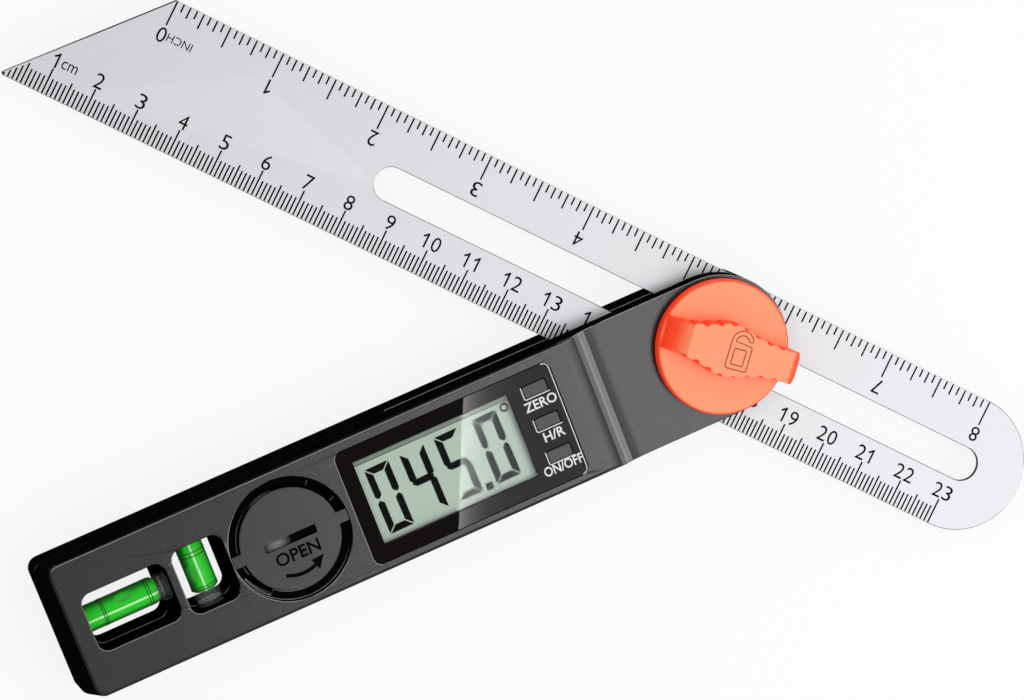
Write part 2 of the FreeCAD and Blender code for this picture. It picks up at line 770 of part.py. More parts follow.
def grip_half_width(station):
    """Half the width of the lever: slim at both ends, and full in the middle."""
    swell = math.exp(-(station / grip_swell_length) ** 2)
    return grip_end_half_width + (grip_middle_half_width - grip_end_half_width) * swell


def grip_plan(low, high):
    """The lever seen from above, raised between two heights."""
    nose_start = grip_reach - grip_nose_bulge
    shares = [-1.5, -5 / 6, -1 / 3, 0, 1 / 3, 5 / 6, 1.5]
    stations = [-knob_radius] + [share * grip_swell_length for share in shares] + [nose_start]
    upper = Part.BSplineCurve()
    upper.interpolate([Vec(s, grip_half_width(s), 0) for s in stations])
    lower = Part.BSplineCurve()
    lower.interpolate([Vec(s, -grip_half_width(s), 0) for s in reversed(stations)])
    last = grip_half_width(stations[-1])
    first = grip_half_width(stations[0])
    nose = Part.Arc(Vec(stations[-1], last, 0), Vec(grip_reach, 0, 0), Vec(stations[-1], -last, 0)).toShape()
    tail = Part.makeLine(Vec(stations[0], -first, 0), Vec(stations[0], first, 0))
    return prism(Part.Wire([upper.toShape(), nose, lower.toShape(), tail]), low, high)


def grip_profile(disc_low, disc_high, top):
    """The lever seen from the side: a crowned ramp, a flat top and a rounded nose."""
    ramp_foot = Vec(-grip_ramp_foot, 0, disc_high)
    ramp_top = Vec(-grip_ramp_top, 0, top)
    ramp_middle = Vec(-(grip_ramp_foot + 2 * grip_ramp_top) / 3, 0,
                      disc_high + (top - disc_high) * grip_ramp_crown)
    nose_start = Vec(grip_reach - grip_nose_radius, 0, top)
    slant = grip_nose_radius * (1 - math.sqrt(0.5))
    nose_middle = Vec(grip_reach - slant, 0, top - slant)
    nose_end = Vec(grip_reach, 0, top - grip_nose_radius)
    lap_x = knob_radius - grip_lap_reach
    points = [Vec(grip_reach, 0, disc_low + grip_lap), Vec(lap_x, 0, disc_low + grip_lap),
              Vec(lap_x, 0, disc_high - grip_lap), Vec(-grip_ramp_foot, 0, disc_high - grip_lap)]
    edges = [
        Part.Arc(ramp_foot, ramp_middle, ramp_top).toShape(),
        Part.makeLine(ramp_top, nose_start),
        Part.Arc(nose_start, nose_middle, nose_end).toShape(),
        Part.makeLine(nose_end, points[0]),
    ]
    edges += [Part.makeLine(points[i], points[i + 1]) for i in range(3)]
    edges.append(Part.makeLine(points[3], ramp_foot))
    face = Part.Face(Part.Wire(edges))
    face.translate(Vec(0, -knob_radius, 0))
    return face.extrude(Vec(0, 2 * knob_radius, 0))


def lock_knob():
    """The clamping knob: a disc with a raised lever whose sides are scalloped."""
    disc_high = knob_low_z + knob_disc_thickness
    top = knob_low_z + knob_height
    disc = cylinder(0, 0, knob_radius, knob_low_z, disc_high)
    disc = bevelled(disc, disc_high, knob_edge_bevel)
    grip = grip_plan(knob_low_z, top + past).common(grip_profile(knob_low_z, disc_high, top))
    for i in range(scallop_count):
        station = -grip_ramp_foot + scallop_first + i * scallop_pitch
        for side in (1, -1):
            notch_y = side * (grip_half_width(station) + scallop_offset)
            grip = grip.cut(small_round(station, notch_y, scallop_radius, disc_high, top + past))
    knob = disc.fuse(grip)
    knob.rotate(Vec(0, 0, 0), Z_AXIS, knob_lever_angle)
    return knob.cut(hexagon(insert_flats, knob_low_z - past, knob_low_z + insert_height))


def knob_insert():
    """The hexagonal brass nut moulded into the knob."""
    nut = hexagon(insert_flats, knob_low_z, knob_low_z + insert_height)
    return nut.cut(cylinder(0, 0, bolt_radius + insert_thread_gap, knob_low_z - past,
                            knob_low_z + insert_height + past))


def battery_cover():
    """The coin-turned cover: a disc with two tabs in the groove and two lugs under the ledge."""
    ledge_top, ledge_bottom, lug_top, lug_bottom = battery_heights()[:4]
    disc_bottom = ledge_top + cover_seat_play
    disc = cylinder(battery_x, battery_y, cover_radius, disc_bottom, stock_thickness)
    disc = bevelled(disc, stock_thickness, cover_rim_bevel)
    reach = recess_radius - cover_tab_play
    half_tab = cover_tab_width / 2
    tabs = block(battery_x - reach - past, battery_x + reach + past,
                 battery_y - half_tab, battery_y + half_tab, disc_bottom, stock_thickness)
    tabs = tabs.common(cylinder(battery_x, battery_y, reach, ledge_top, stock_thickness + past))
    skirt = cylinder(battery_x, battery_y, cover_radius, lug_bottom, disc_bottom)
    lugs = cover_lugs(lug_radius, lug_bottom, lug_top, 0, lug_half_angle)
    cover = disc.fuse([tabs, skirt, lugs]).removeSplitter()
    half_length = coin_slot_length / 2
    half_slot = coin_slot_width / 2
    return cover.cut(block(battery_x - half_length, battery_x + half_length, battery_y - half_slot,
                           battery_y + half_slot, stock_thickness - coin_slot_depth, stock_thickness + past))


def battery_cell():
    """A coin cell with its stepped rim."""
    cell_top, cell_bottom = battery_heights()[4:6]
    step_z = cell_bottom + cell_step_height
    can = cylinder(battery_x, battery_y, cell_radius, step_z, cell_top)
    return can.fuse(cylinder(battery_x, battery_y, cell_radius - cell_step, cell_bottom, step_z))


def battery_contact_negative():
    """The leaf on the floor of the well, under the cell."""
    cell_bottom, floor_top = battery_heights()[5:7]
    return eight_sided_block(battery_x, battery_y, leaf_length, leaf_width,
                             floor_top, cell_bottom, leaf_corner)


def positive_contact(low, high, play):
    """The space of the strip beside the cell, which lies across the battery axis."""
    x = battery_x + cell_radius + contact_cell_gap
    return block(x - play, x + contact_thickness + play, battery_y - contact_half_width - play,
                 battery_y + contact_half_width + play, low, high)


def battery_contact_positive():
    """The strip against the side of the cell, in its notch in the well."""
    cell_top, cell_bottom, floor_top = battery_heights()[4:7]
    return positive_contact(floor_top, cell_top, 0)


def level_tube(window, lengthwise):
    """The clear tube of one spirit level."""
    start, direction, length = vial_axis(window, lengthwise)
    outer = Part.makeCylinder(vial_radius, length, start, direction)
    return outer.cut(Part.makeCylinder(vial_bore_radius, length, start, direction))


def level_plugs(window, lengthwise):
    """Both end stoppers of one spirit level."""
    start, direction, length = vial_axis(window, lengthwise)
    first = Part.makeCylinder(vial_bore_radius, vial_plug_length, start, direction)
    second = Part.makeCylinder(vial_bore_radius, vial_plug_length,
                               start + direction * (length - vial_plug_length), direction)
    return Part.makeCompound([first, second])


def level_fluid(window, lengthwise):
    """The liquid between the stoppers, with the hollow of its bubble."""
    start, direction, length = vial_axis(window, lengthwise)
    begin = start + direction * vial_plug_length
    liquid = Part.makeCylinder(vial_bore_radius, length - 2 * vial_plug_length, begin, direction)
    up = Vec(0, 1, 0) if lengthwise else Vec(-1, 0, 0)
    middle = start + direction * (length / 2) + up * (vial_bore_radius - bubble_rise)
    bubble_start = middle - direction * (bubble_length / 2)
    bubble = small_round(0, 0, bubble_radius, 0, bubble_length)
    bubble.Placement = FreeCAD.Placement(bubble_start, FreeCAD.Rotation(Z_AXIS, direction))
    return liquid.cut(bubble)


def assembly():
    """Every piece of the instrument by its name."""
    pieces = {
        "front_housing": front_housing(),
        "rear_housing": rear_housing(),
        "housing_screws": housing_screws(),
        "display_lens": display_lens(),
        "lcd_panel": lcd_panel(),
        "zebra_strip": zebra_strip(),
        "circuit_board": circuit_board(),
        "controller_chip": controller_chip(),
        "board_screws": board_screws(),
        "dome_switches": dome_switches(),
        "front_slot_plate": front_slot_plate(),
        "rear_slot_plate": rear_slot_plate(),
        "upper_friction_washer": upper_friction_washer(),
        "lower_friction_washer": lower_friction_washer(),
        "thrust_washer": thrust_washer(),
        "clamp_bolt": clamp_bolt(),
        "turn_hub": turn_hub(),
        "encoder_rotor": encoder_rotor(),
        "rule_blade": rule(),
        "lock_knob": lock_knob(),
        "knob_insert": knob_insert(),
        "battery_cover": battery_cover(),
        "battery_cell": battery_cell(),
        "battery_contact_negative": battery_contact_negative(),
        "battery_contact_positive": battery_contact_positive(),
        "level_tube_long": level_tube(window_long, True),
        "level_plugs_long": level_plugs(window_long, True),
        "level_fluid_long": level_fluid(window_long, True),
        "level_tube_cross": level_tube(window_cross, False),
        "level_plugs_cross": level_plugs(window_cross, False),
        "level_fluid_cross": level_fluid(window_cross, False),
    }
    for name, y in zip(("button_zero", "button_hold", "button_power"), button_stations()):
        pieces[name] = button_cap(y)
    return pieces


os.makedirs("parts", exist_ok=True)
for node, shape in assembly().items():
    shape.exportStep("parts/" + node + ".step")
    print(node, len(shape.Solids), round(shape.Volume, 1), "mm3", "valid" if shape.isValid() else "NOT VALID")
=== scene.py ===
"""Looks of a digital sliding bevel, laid out as an add-on and run as a script.

Every size below is in millimetres unless its name or unit says otherwise, and every place is
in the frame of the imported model: the origin on the clamping axis at the back face of the stock,
+X along the stock to its round end, +Y across it, and +Z out of the display.
"""
import json
import math
from contextlib import contextmanager

import bpy
from bpy.props import FloatProperty, FloatVectorProperty, PointerProperty, StringProperty
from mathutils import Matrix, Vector

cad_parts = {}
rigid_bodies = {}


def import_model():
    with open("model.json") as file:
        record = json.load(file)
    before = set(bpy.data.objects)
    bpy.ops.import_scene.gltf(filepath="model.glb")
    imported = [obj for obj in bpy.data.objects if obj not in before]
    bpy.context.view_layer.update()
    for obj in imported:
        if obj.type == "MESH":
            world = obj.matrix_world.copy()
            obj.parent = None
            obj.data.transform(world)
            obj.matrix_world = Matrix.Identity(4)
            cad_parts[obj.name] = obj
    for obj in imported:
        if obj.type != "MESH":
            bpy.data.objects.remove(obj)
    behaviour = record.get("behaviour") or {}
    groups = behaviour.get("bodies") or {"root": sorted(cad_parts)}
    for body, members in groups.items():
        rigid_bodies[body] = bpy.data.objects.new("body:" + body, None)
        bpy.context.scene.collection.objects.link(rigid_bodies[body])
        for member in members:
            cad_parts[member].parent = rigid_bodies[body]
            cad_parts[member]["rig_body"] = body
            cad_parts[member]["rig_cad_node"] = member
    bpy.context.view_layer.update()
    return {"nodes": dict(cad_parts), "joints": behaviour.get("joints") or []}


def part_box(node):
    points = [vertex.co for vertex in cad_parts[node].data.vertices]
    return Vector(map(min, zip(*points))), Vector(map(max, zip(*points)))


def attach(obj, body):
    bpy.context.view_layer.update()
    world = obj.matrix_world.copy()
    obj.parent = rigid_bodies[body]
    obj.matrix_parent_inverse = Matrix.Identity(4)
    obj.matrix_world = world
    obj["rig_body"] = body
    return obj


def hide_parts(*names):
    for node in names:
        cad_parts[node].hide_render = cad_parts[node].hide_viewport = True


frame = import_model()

bl_info = {
    "name": "Digital sliding bevel",
    "version": (1, 0, 0),
    "blender": (4, 5, 0),
    "location": "View3D > Sidebar > Sliding bevel",
    "description": "Dresses the packed model of a digital sliding bevel, piece by piece",
    "category": "Object",
}

MM = 0.001
PRINT_STANDS_OUT = 0.015        # how far printed marks stand out of what they are printed on
PRINT_SINKS = 0.03              # and how far they reach into it
MERGE_DISTANCE = 1e-7           # in metres: corners nearer than this are one corner


def box_mm(node):
    """Lowest and highest corner of a node, in millimetres."""
    low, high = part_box(node)
    return Vector(low) / MM, Vector(high) / MM


def middle_mm(node):
    """The middle of a node, in millimetres."""
    low, high = box_mm(node)
    return (low + high) / 2


def slide_direction():
    """Unit vector along the rule, from its point to its round end."""
    for joint in frame["joints"]:
        if joint["name"] == "blade_slide":
            return -Vector(joint["axis"]).normalized()
    raise RuntimeError("the packed model has no joint named blade_slide")


RULE_ALONG = slide_direction()
RULE_ACROSS = Vector((-RULE_ALONG.y, RULE_ALONG.x, 0))
RULE_TURN = math.atan2(RULE_ALONG.y, RULE_ALONG.x)
KNOB_TURN = math.radians(-38.6)     # of the lever, from its nose to its grip
KNOB_NOSE_SHADE = (15.4, 14.2)            # along the lever: where the painted shade of its nose is full, and where that shade ends
RULE_WIDTH = 30.0
RULE_LENGTH = 245.6


def rule_station():
    """Distance from the point of the rule to the clamping axis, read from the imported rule."""
    round_end_reach = box_mm("rule_blade")[1].x - RULE_WIDTH / 2
    return RULE_LENGTH - RULE_WIDTH / 2 - round_end_reach / RULE_ALONG.x


def shade(red, green, blue):
    """A colour written as it looks on a screen, as the linear one that a material takes."""
    values = [channel / 255 for channel in (red, green, blue)]
    return tuple(v / 12.92 if v <= 0.04045 else ((v + 0.055) / 1.055) ** 2.4 for v in values)


def colour_setting(name, description, default):
    """A colour that the user may change."""
    return FloatVectorProperty(name=name, description=description, default=default, size=3,
                               min=0.0, max=1.0, subtype="COLOR")


def length_setting(name, description, default_mm):
    """A length that the user may change."""
    return FloatProperty(name=name, description=description, default=default_mm * MM, min=0.0,
                         precision=5, unit="LENGTH", subtype="DISTANCE")


class StageSettings(bpy.types.PropertyGroup):
    """Camera, floor and lights"""
    camera_place: FloatVectorProperty(name="Camera place", description="Where the camera stands",
                                      default=(-0.251425, 0.288345, 1.139072), size=3,
                                      subtype="TRANSLATION", unit="LENGTH")
    camera_turn: FloatVectorProperty(name="Camera turn", description="How the camera is turned",
                                     default=(math.radians(-8.58268), math.radians(-14.59434),
                                              math.radians(-21.46436)), size=3, subtype="EULER")
    focal_length: FloatProperty(name="Focal length", description="Of the camera, on a 36 mm frame",
                                default=193.36, unit="CAMERA")
    floor_size: FloatProperty(name="Floor size", description="Side of the square floor",
                              default=4.0, unit="LENGTH")
    fill_light: FloatProperty(name="Fill light", description="Level of the light from all round",
                              default=0.55, min=0.0)
    side_light: FloatProperty(name="Side light", description="Power of the lamp past the knob",
                              default=2.4, min=0.0, unit="POWER")


class StockSettings(bpy.types.PropertyGroup):
    """Moulded stock and the battery cover in it"""
    plastic: colour_setting("Plastic", "Colour of the moulded stock", shade(39, 39, 41))
    cover: colour_setting("Cover", "Colour of the battery cover", shade(45, 46, 48))
    # painted highlight: colour of the edges that face the light, and of glints in hollows
    rim: colour_setting("Rim", "Colour of the edges that catch the light", shade(150, 151, 153))
    grain_depth: length_setting("Grain depth", "Depth of the moulded grain", 0.012)
    edge_round: length_setting("Edge rounding", "Rounding of the moulded edges", 0.18)
    word_height: length_setting("Word height", "Height of the word on the battery cover", 2.9)
    word_length: length_setting("Word length", "Length of the word on the battery cover", 10.1)
    engraving: length_setting("Engraving", "Depth of the word and the arrow on the cover", 0.3)


class RuleSettings(bpy.types.PropertyGroup):
    """Slotted steel rule and its two scales"""
    steel: colour_setting("Steel", "Colour of the satin rule", shade(206, 207, 210))
    mark: colour_setting("Mark", "Colour of the etched marks", shade(24, 24, 26))
    mark_width: length_setting("Mark width", "Width of a line of the scales", 0.38)
    number_height: length_setting("Number height", "Height of the numbers of both scales", 3.3)
    inch_start: length_setting("Inch start", "From the point to the zero of the inch scale", 27.5)


class DisplaySettings(bpy.types.PropertyGroup):
    """Display, its window and its keys"""
    window: colour_setting("Window", "Colour of the printed frame of the window", shade(12, 5, 6))
    screen: colour_setting("Screen", "Colour of the display", shade(184, 202, 186))
    figure: colour_setting("Figure", "Colour of the figures", shade(5, 9, 6))
    label: colour_setting("Label", "Colour of the words beside the keys", shade(238, 240, 240))
    key: colour_setting("Key", "Colour of the keys", shade(46, 46, 47))
    reading: StringProperty(name="Reading", description="Four figures, with the point before the last",
                            default="0450")
    figure_width: length_setting("Figure width", "Width of a figure", 5.7)
    figure_height: length_setting("Figure height", "Height of a figure", 15.2)
    stroke: length_setting("Stroke", "Width of the strokes of a figure", 1.55)
    label_height: length_setting("Label height", "Height of the words beside the keys", 2.2)


class LevelSettings(bpy.types.PropertyGroup):
    """Spirit levels"""
    liquid: colour_setting("Liquid", "Colour of the liquid", shade(0, 196, 10))
    ring: colour_setting("Ring", "Colour of the rings round the tubes", shade(2, 40, 5))
    ring_width: length_setting("Ring width", "Width of a ring", 0.2)
    bubble_length: length_setting("Bubble length", "Length of the bubble", 4.4)


class KnobSettings(bpy.types.PropertyGroup):
    """Lock knob"""
    # top and side are lit and shaded copies of one orange, for painted light and painted shade
    top: colour_setting("Top", "Colour of the knob where it faces up", shade(252, 152, 104))
    side: colour_setting("Side", "Colour of the knob on its steep sides", shade(250, 56, 20))
    sign: colour_setting("Sign", "Colour of the lines of the padlock", shade(190, 84, 40))
    edge_round: length_setting("Edge rounding", "Rounding of the knob's edges", 0.15)


class Value:
    """A number in a material, on which sums are written as plain maths."""

    def __init__(self, finish, socket):
        self.finish = finish
        self.socket = socket

    def sum(self, operation, first, second=None):
        inputs = {0: first} if second is None else {0: first, 1: second}
        return self.finish.node("ShaderNodeMath", {"operation": operation}, inputs)

    def __add__(self, other):
        return self.sum("ADD", self, other)

    def __radd__(self, other):
        return self.sum("ADD", other, self)

    def __sub__(self, other):
        return self.sum("SUBTRACT", self, other)

    def __rsub__(self, other):
        return self.sum("SUBTRACT", other, self)

    def __mul__(self, other):
        return self.sum("MULTIPLY", self, other)

    def __rmul__(self, other):
        return self.sum("MULTIPLY", other, self)

    def __truediv__(self, other):
        return self.sum("DIVIDE", self, other)

    def __rtruediv__(self, other):
        return self.sum("DIVIDE", other, self)

    def size(self):
        """The number without its sign."""
        return self.sum("ABSOLUTE", self)

    def or_more(self, other):
        """The larger of two numbers."""
        return self.sum("MAXIMUM", self, other)


class Nodes:
    """A tree of nodes that is filled node by node."""

    def __init__(self, tree):
        self.tree = tree

    def node(self, kind, settings=None, inputs=None, output=0):
        """Add a node: its settings first, then the values or links of its sockets."""
        node = self.tree.nodes.new(kind)
        for name, value in (settings or {}).items():
            if name == "stops":
                while len(node.color_ramp.elements) < len(value):
                    node.color_ramp.elements.new(1.0)
                for element, (position, colour) in zip(node.color_ramp.elements, value):
                    element.position = position
                    element.color = (*colour, 1.0)
            else:
                setattr(node, name, value)
        for name, value in (inputs or {}).items():
            self.give(node.inputs[name], value)
        return Value(self, node.outputs[output])

    def give(self, socket, value):
        """Link a value to a socket, or set it there."""
        if isinstance(value, Value):
            self.tree.links.new(value.socket, socket)
        elif hasattr(value, "__len__") and len(value) == 3 and len(socket.default_value) == 4:
            socket.default_value = (*value, 1.0)
        else:
            socket.default_value = value


class Finish(Nodes):
    """One material: its nodes, and the shader that shows them."""

    def __init__(self, name, **constants):
        self.material = bpy.data.materials.new(name)
        self.material.use_nodes = True
        super().__init__(self.material.node_tree)
        self.shader = self.tree.nodes["Principled BSDF"]
        self.place = self.node("ShaderNodeTexCoord", output="Object")
        self.wear({key.replace("_", " ").title().replace("Ior", "IOR"): value
                   for key, value in constants.items()})

    def wear(self, values):
        """Set or link the shader's sockets by their names."""
        for name, value in values.items():
            self.give(self.shader.inputs[name], value)

    def surface(self):
        """The shader's own output."""
        return Value(self, self.shader.outputs[0])

    def show(self, surface):
        """Let the material show another shader's output."""
        self.give(self.tree.nodes["Material Output"].inputs["Surface"], surface)

    def spread(self, scale, detail=2.0, roughness=0.5, place=None):
        """Soft cloudy variation between 0 and 1, with so many cells to the metre."""
        return self.node("ShaderNodeTexNoise", {}, {"Vector": place or self.place, "Scale": scale,
                                                    "Detail": detail, "Roughness": roughness})

    def cells(self, scale, place=None):
        """Distance from scattered points, with so many cells to the metre."""
        return self.node("ShaderNodeTexVoronoi", {"feature": "F1"},
                         {"Vector": place or self.place, "Scale": scale})

    def turned(self, turn, scale):
        """The place on the piece, turned about +Z and stretched."""
        return self.node("ShaderNodeMapping", {}, {"Vector": self.place, "Rotation": (0, 0, turn),
                                                   "Scale": scale})

    def between(self, share, first, second):
        """A colour between two others."""
        return self.node("ShaderNodeMix", {"data_type": "RGBA"}, {0: share, 6: first, 7: second}, 2)

    def clamp(self, value, low, high):
        """A number brought from one range to 0 and 1, and kept between them."""
        return self.node("ShaderNodeMapRange", {}, {"Value": value, "From Min": low, "From Max": high})

    def axis(self, vector, name):
        """One coordinate of a vector."""
        return self.node("ShaderNodeSeparateXYZ", {}, {0: vector}, name)

    def relief(self, height, depth, strength=1.0):
        """Bumps of the given depth in metres."""
        normal = self.node("ShaderNodeBump", {}, {"Height": height, "Distance": depth,
                                                  "Strength": strength})
        self.wear({"Normal": normal})


def darker(colour, share):
    """A colour with part of its light taken away."""
    return tuple(channel * share for channel in colour)


RAISED_FACE_END = -33.3         # the raised part of the stock's face lies left of this,
RAISED_FACE_FLOOR = 14.8        # and what is lower than this there is a hollow
BACK_SKIN = (0.4, 1.0)          # heights between which the back's own colour turns into the painted shade of a hollow
SHADOW_SHARE = 0.12             # of a piece's own colour, in its shadows
GLINT_REACH = (3.2, 0.6)        # from a glint's middle: where it starts, and where it is full


def moulded_plastic(name, colour, rim, grain_depth, dark_below, roughness=0.22, glint=None):
    """Fine-grained injection-moulded plastic: painted shade on its walls, hollows and unlit edges, and
    painted highlights on the edges that face the light.

    Faces lower than dark_below get painted shade; a glint is a painted highlight at a place along X in a
    hollow."""
    finish = Finish(name, specular_ior_level=0.25)
    cloud = finish.spread(55, 3)
    grain = finish.spread(5200, 2) * 0.6 + finish.cells(3600) * 0.4
    scuffs = finish.clamp(finish.spread(900, 4, 0.7, finish.turned(0.4, (1, 0.12, 1))), 0.62, 0.8)
    normal = finish.node("ShaderNodeNewGeometry", output="True Normal")
    upright = finish.axis(normal, "Z").size()
    height = finish.axis(finish.place, "Z")
    along = finish.axis(finish.place, "X")
    # painted shade in hollows: faces lower than dark_below and the sunken part of the raised face, but not
    # the back
    low = finish.clamp(height, dark_below * MM, (dark_below - 0.1) * MM)
    sunk = (finish.clamp(height, RAISED_FACE_FLOOR * MM, (RAISED_FACE_FLOOR - 0.2) * MM)
            * finish.clamp(along, RAISED_FACE_END * MM, (RAISED_FACE_END - 0.3) * MM))
    hollow_shade = low.or_more(sunk) * finish.clamp(height, BACK_SKIN[0] * MM, BACK_SKIN[1] * MM)
    # painted shade on the steep walls
    shaded_walls = finish.clamp(upright, 0.75, 0.35)
    # painted highlight on the edges that face +X and +Y, painted shade on the other edges
    edges = finish.clamp(upright, 0.7, 0.8) * finish.clamp(upright, 0.975, 0.93)
    lit = edges * finish.clamp(finish.axis(normal, "X") + finish.axis(normal, "Y"), -0.2, 0.1)
    painted_shade_share = (shaded_walls.or_more(hollow_shade).or_more(edges) - lit).or_more(0.0)
    face = finish.between(cloud * 0.7 + grain * 0.3, darker(colour, 0.84), colour)
    shadow = darker(colour, SHADOW_SHARE)
    # painted glint: a highlight painted on the floor of a hollow, near a place along X
    if glint:
        beside = (along - glint * MM).size()
        painted_glint = finish.clamp(beside, GLINT_REACH[0] * MM, GLINT_REACH[1] * MM)
        deep = finish.clamp(height, (dark_below - 0.5) * MM, (dark_below - 0.6) * MM)
        shadow = finish.between(painted_glint * deep, shadow, darker(rim, 0.8))
    finish.wear({"Base Color": finish.between(lit, face, rim),
                 "Roughness": roughness + cloud * 0.05 + grain * 0.05 - scuffs * 0.04})
    # a shaded copy of the plastic, mixed in wherever shade is painted
    shaded = finish.node("ShaderNodeBsdfPrincipled", {},
                         {"Base Color": shadow, "Roughness": 1.0, "Specular IOR Level": 0.0})
    finish.show(finish.node("ShaderNodeMixShader", {}, {0: painted_shade_share, 1: finish.surface(), 2: shaded}))
    finish.relief(grain + scuffs * 0.1, grain_depth, 0.55)
    return finish.material


def satin_rule_steel(name, colour):
    """Hardened rule steel, ground lengthwise and brushed to a satin grey, with painted shade on its cut
    edges.
    """
    finish = Finish(name, metallic=0.25, specular_ior_level=0.4)
    normal = finish.node("ShaderNodeNewGeometry", output="Normal")
    # painted shade on the cut edges and walls, which are also rougher
    shaded_walls = finish.clamp(finish.axis(normal, "Z").size(), 0.95, 0.8)
    along = finish.turned(-RULE_TURN, (30, 2600, 300))
    brushed = finish.spread(1.0, 4, 0.6, along)
    cloud = finish.spread(28, 2)
    flat = finish.between(brushed * 0.65 + cloud * 0.35, darker(colour, 0.88), colour)
    finish.wear({"Base Color": finish.between(shaded_walls, flat, darker(colour, 0.07)),
                 "Roughness": 0.46 + brushed * 0.12 + cloud * 0.05 + shaded_walls * 0.3})
    finish.relief(brushed, 0.000004, 0.35)
    return finish.material


def turned_metal(name, colour, roughness, scale=1400, metallic=1.0):
    """Small turned or stamped metal pieces, with fine tool marks."""
    finish = Finish(name, metallic=metallic)
    marks = finish.spread(scale, 3, 0.6, finish.turned(0.6, (1, 0.25, 1)))
    stain = finish.spread(220, 2)
    finish.wear({"Base Color": finish.between(stain, darker(colour, 0.8), colour),
                 "Roughness": roughness + marks * 0.14})
    finish.relief(marks, 0.000006, 0.4)
    return finish.material


def soft_plastic(name, colour, roughness, depth=0.000006):
    """Plain unpainted plastic or rubber of a small inner piece."""
    finish = Finish(name, specular_ior_level=0.4)
    cloud = finish.spread(380, 3)
    finish.wear({"Base Color": finish.between(cloud, darker(colour, 0.8), colour),
                 "Roughness": roughness + cloud * 0.1})
    finish.relief(finish.spread(4200, 2), depth, 0.5)
    return finish.material


def board_laminate(name):
    """Green board with copper tracks under the mask."""
    finish = Finish(name, roughness=0.35)
    tracks = finish.node("ShaderNodeTexBrick", {"offset": 0.37, "squash": 0.6},
                         {"Vector": finish.turned(0.785, (1, 1, 0.01)), "Scale": 380.0,
                          "Mortar Size": 0.07, "Mortar Smooth": 0.2}, "Fac")
    islands = finish.clamp(finish.spread(120, 1), 0.46, 0.5)
    finish.wear({"Base Color": finish.between(tracks * islands, shade(14, 74, 38), shade(38, 120, 62))})
    finish.relief(tracks * islands, 0.00002, 0.5)
    return finish.material


GLASS_SHADOW_RIGHT = 2.2        # widths of the shadows that the window's edges throw on the display
GLASS_SHADOW_TOP = (1.4, 0.2)


def display_glass(name, colour):
    """Pale reflecting glass of the display, with a painted shadow of the window's edges towards its upper and
    right edges.
    """
    finish = Finish(name, roughness=0.32, specular_ior_level=0.05)
    pane_low, pane_high = SLIDINGBEVEL_OT_display_window.pane_corners(SLIDINGBEVEL_OT_display_window)
    right, top = pane_high.x * MM, pane_high.y * MM
    # painted shadow of the window's right and upper edges, falling on the display
    side = finish.clamp(finish.axis(finish.place, "X"), right - GLASS_SHADOW_RIGHT * MM, right)
    start, stop = [top - reach * MM for reach in GLASS_SHADOW_TOP]
    upper = finish.clamp(finish.axis(finish.place, "Y"), start, stop)
    grain = finish.spread(6000, 1)
    shadow = (side * side * 0.6).or_more(upper * 0.85)
    lit = finish.between(grain * 0.3, colour, darker(colour, 0.92))
    finish.wear({"Base Color": finish.between(shadow, lit, darker(colour, 0.12))})
    return finish.material


def gloss_black(name, colour):
    """Printed black behind glossy acrylic."""
    finish = Finish(name, specular_ior_level=0.055)
    cloud = finish.spread(90, 2)
    finish.wear({"Base Color": finish.between(cloud, darker(colour, 0.7), colour),
                 "Roughness": 0.004 + cloud * 0.004 + finish.clamp(finish.spread(1500, 3), 0.6, 0.9) * 0.01})
    return finish.material


def clear_plastic(name, colour, alpha, roughness=0.06, metallic=0.0):
    """Clear acrylic that is seen mostly by its gloss."""
    finish = Finish(name, specular_ior_level=0.2, base_color=colour, metallic=metallic)
    haze = finish.spread(260, 2)
    finish.wear({"Alpha": alpha * (haze * 0.3 + 0.85), "Roughness": roughness + haze * 0.01})
    return finish.material


LIQUID_RADIUS = 3.0


def level_liquid(name, colour, length_axis):
    """Bright liquid in a tube, with painted shade towards its sides, a painted highlight band along the tube
    and a painted glow.
    """
    finish = Finish(name, roughness=0.12, specular_ior_level=0.05)
    node = "level_tube_long" if length_axis == "X" else "level_tube_cross"
    centre = middle_mm(node) * MM
    across_axis, across_middle = ("Y", centre.y) if length_axis == "X" else ("X", centre.x)
    across = (finish.axis(finish.place, across_axis) - across_middle) / (LIQUID_RADIUS * MM)
    # painted shade at both sides of the tube, and a painted highlight band with a thin painted dark line
    # beside it
    painted_light_band = finish.node("ShaderNodeValToRGB", {"stops": [
        (0.0, darker(colour, 0.1)), (0.16, darker(colour, 0.3)), (0.24, colour), (0.4, colour),
        (0.43, (0.35, 0.9, 0.3)), (0.49, (0.5, 0.95, 0.42)), (0.51, darker(colour, 0.45)), (0.54, colour),
        (0.8, colour), (0.92, darker(colour, 0.45)), (1.0, darker(colour, 0.1))]},
        {"Fac": across * 0.5 + 0.5})
    glow = finish.between(finish.spread(700, 2) * 0.2, painted_light_band, darker(colour, 0.75))
    # painted glow: the liquid emits its own colour though it is no lamp
    finish.wear({"Base Color": glow, "Emission Color": glow})
    finish.shader.inputs["Emission Strength"].default_value = 0.22
    return finish.material


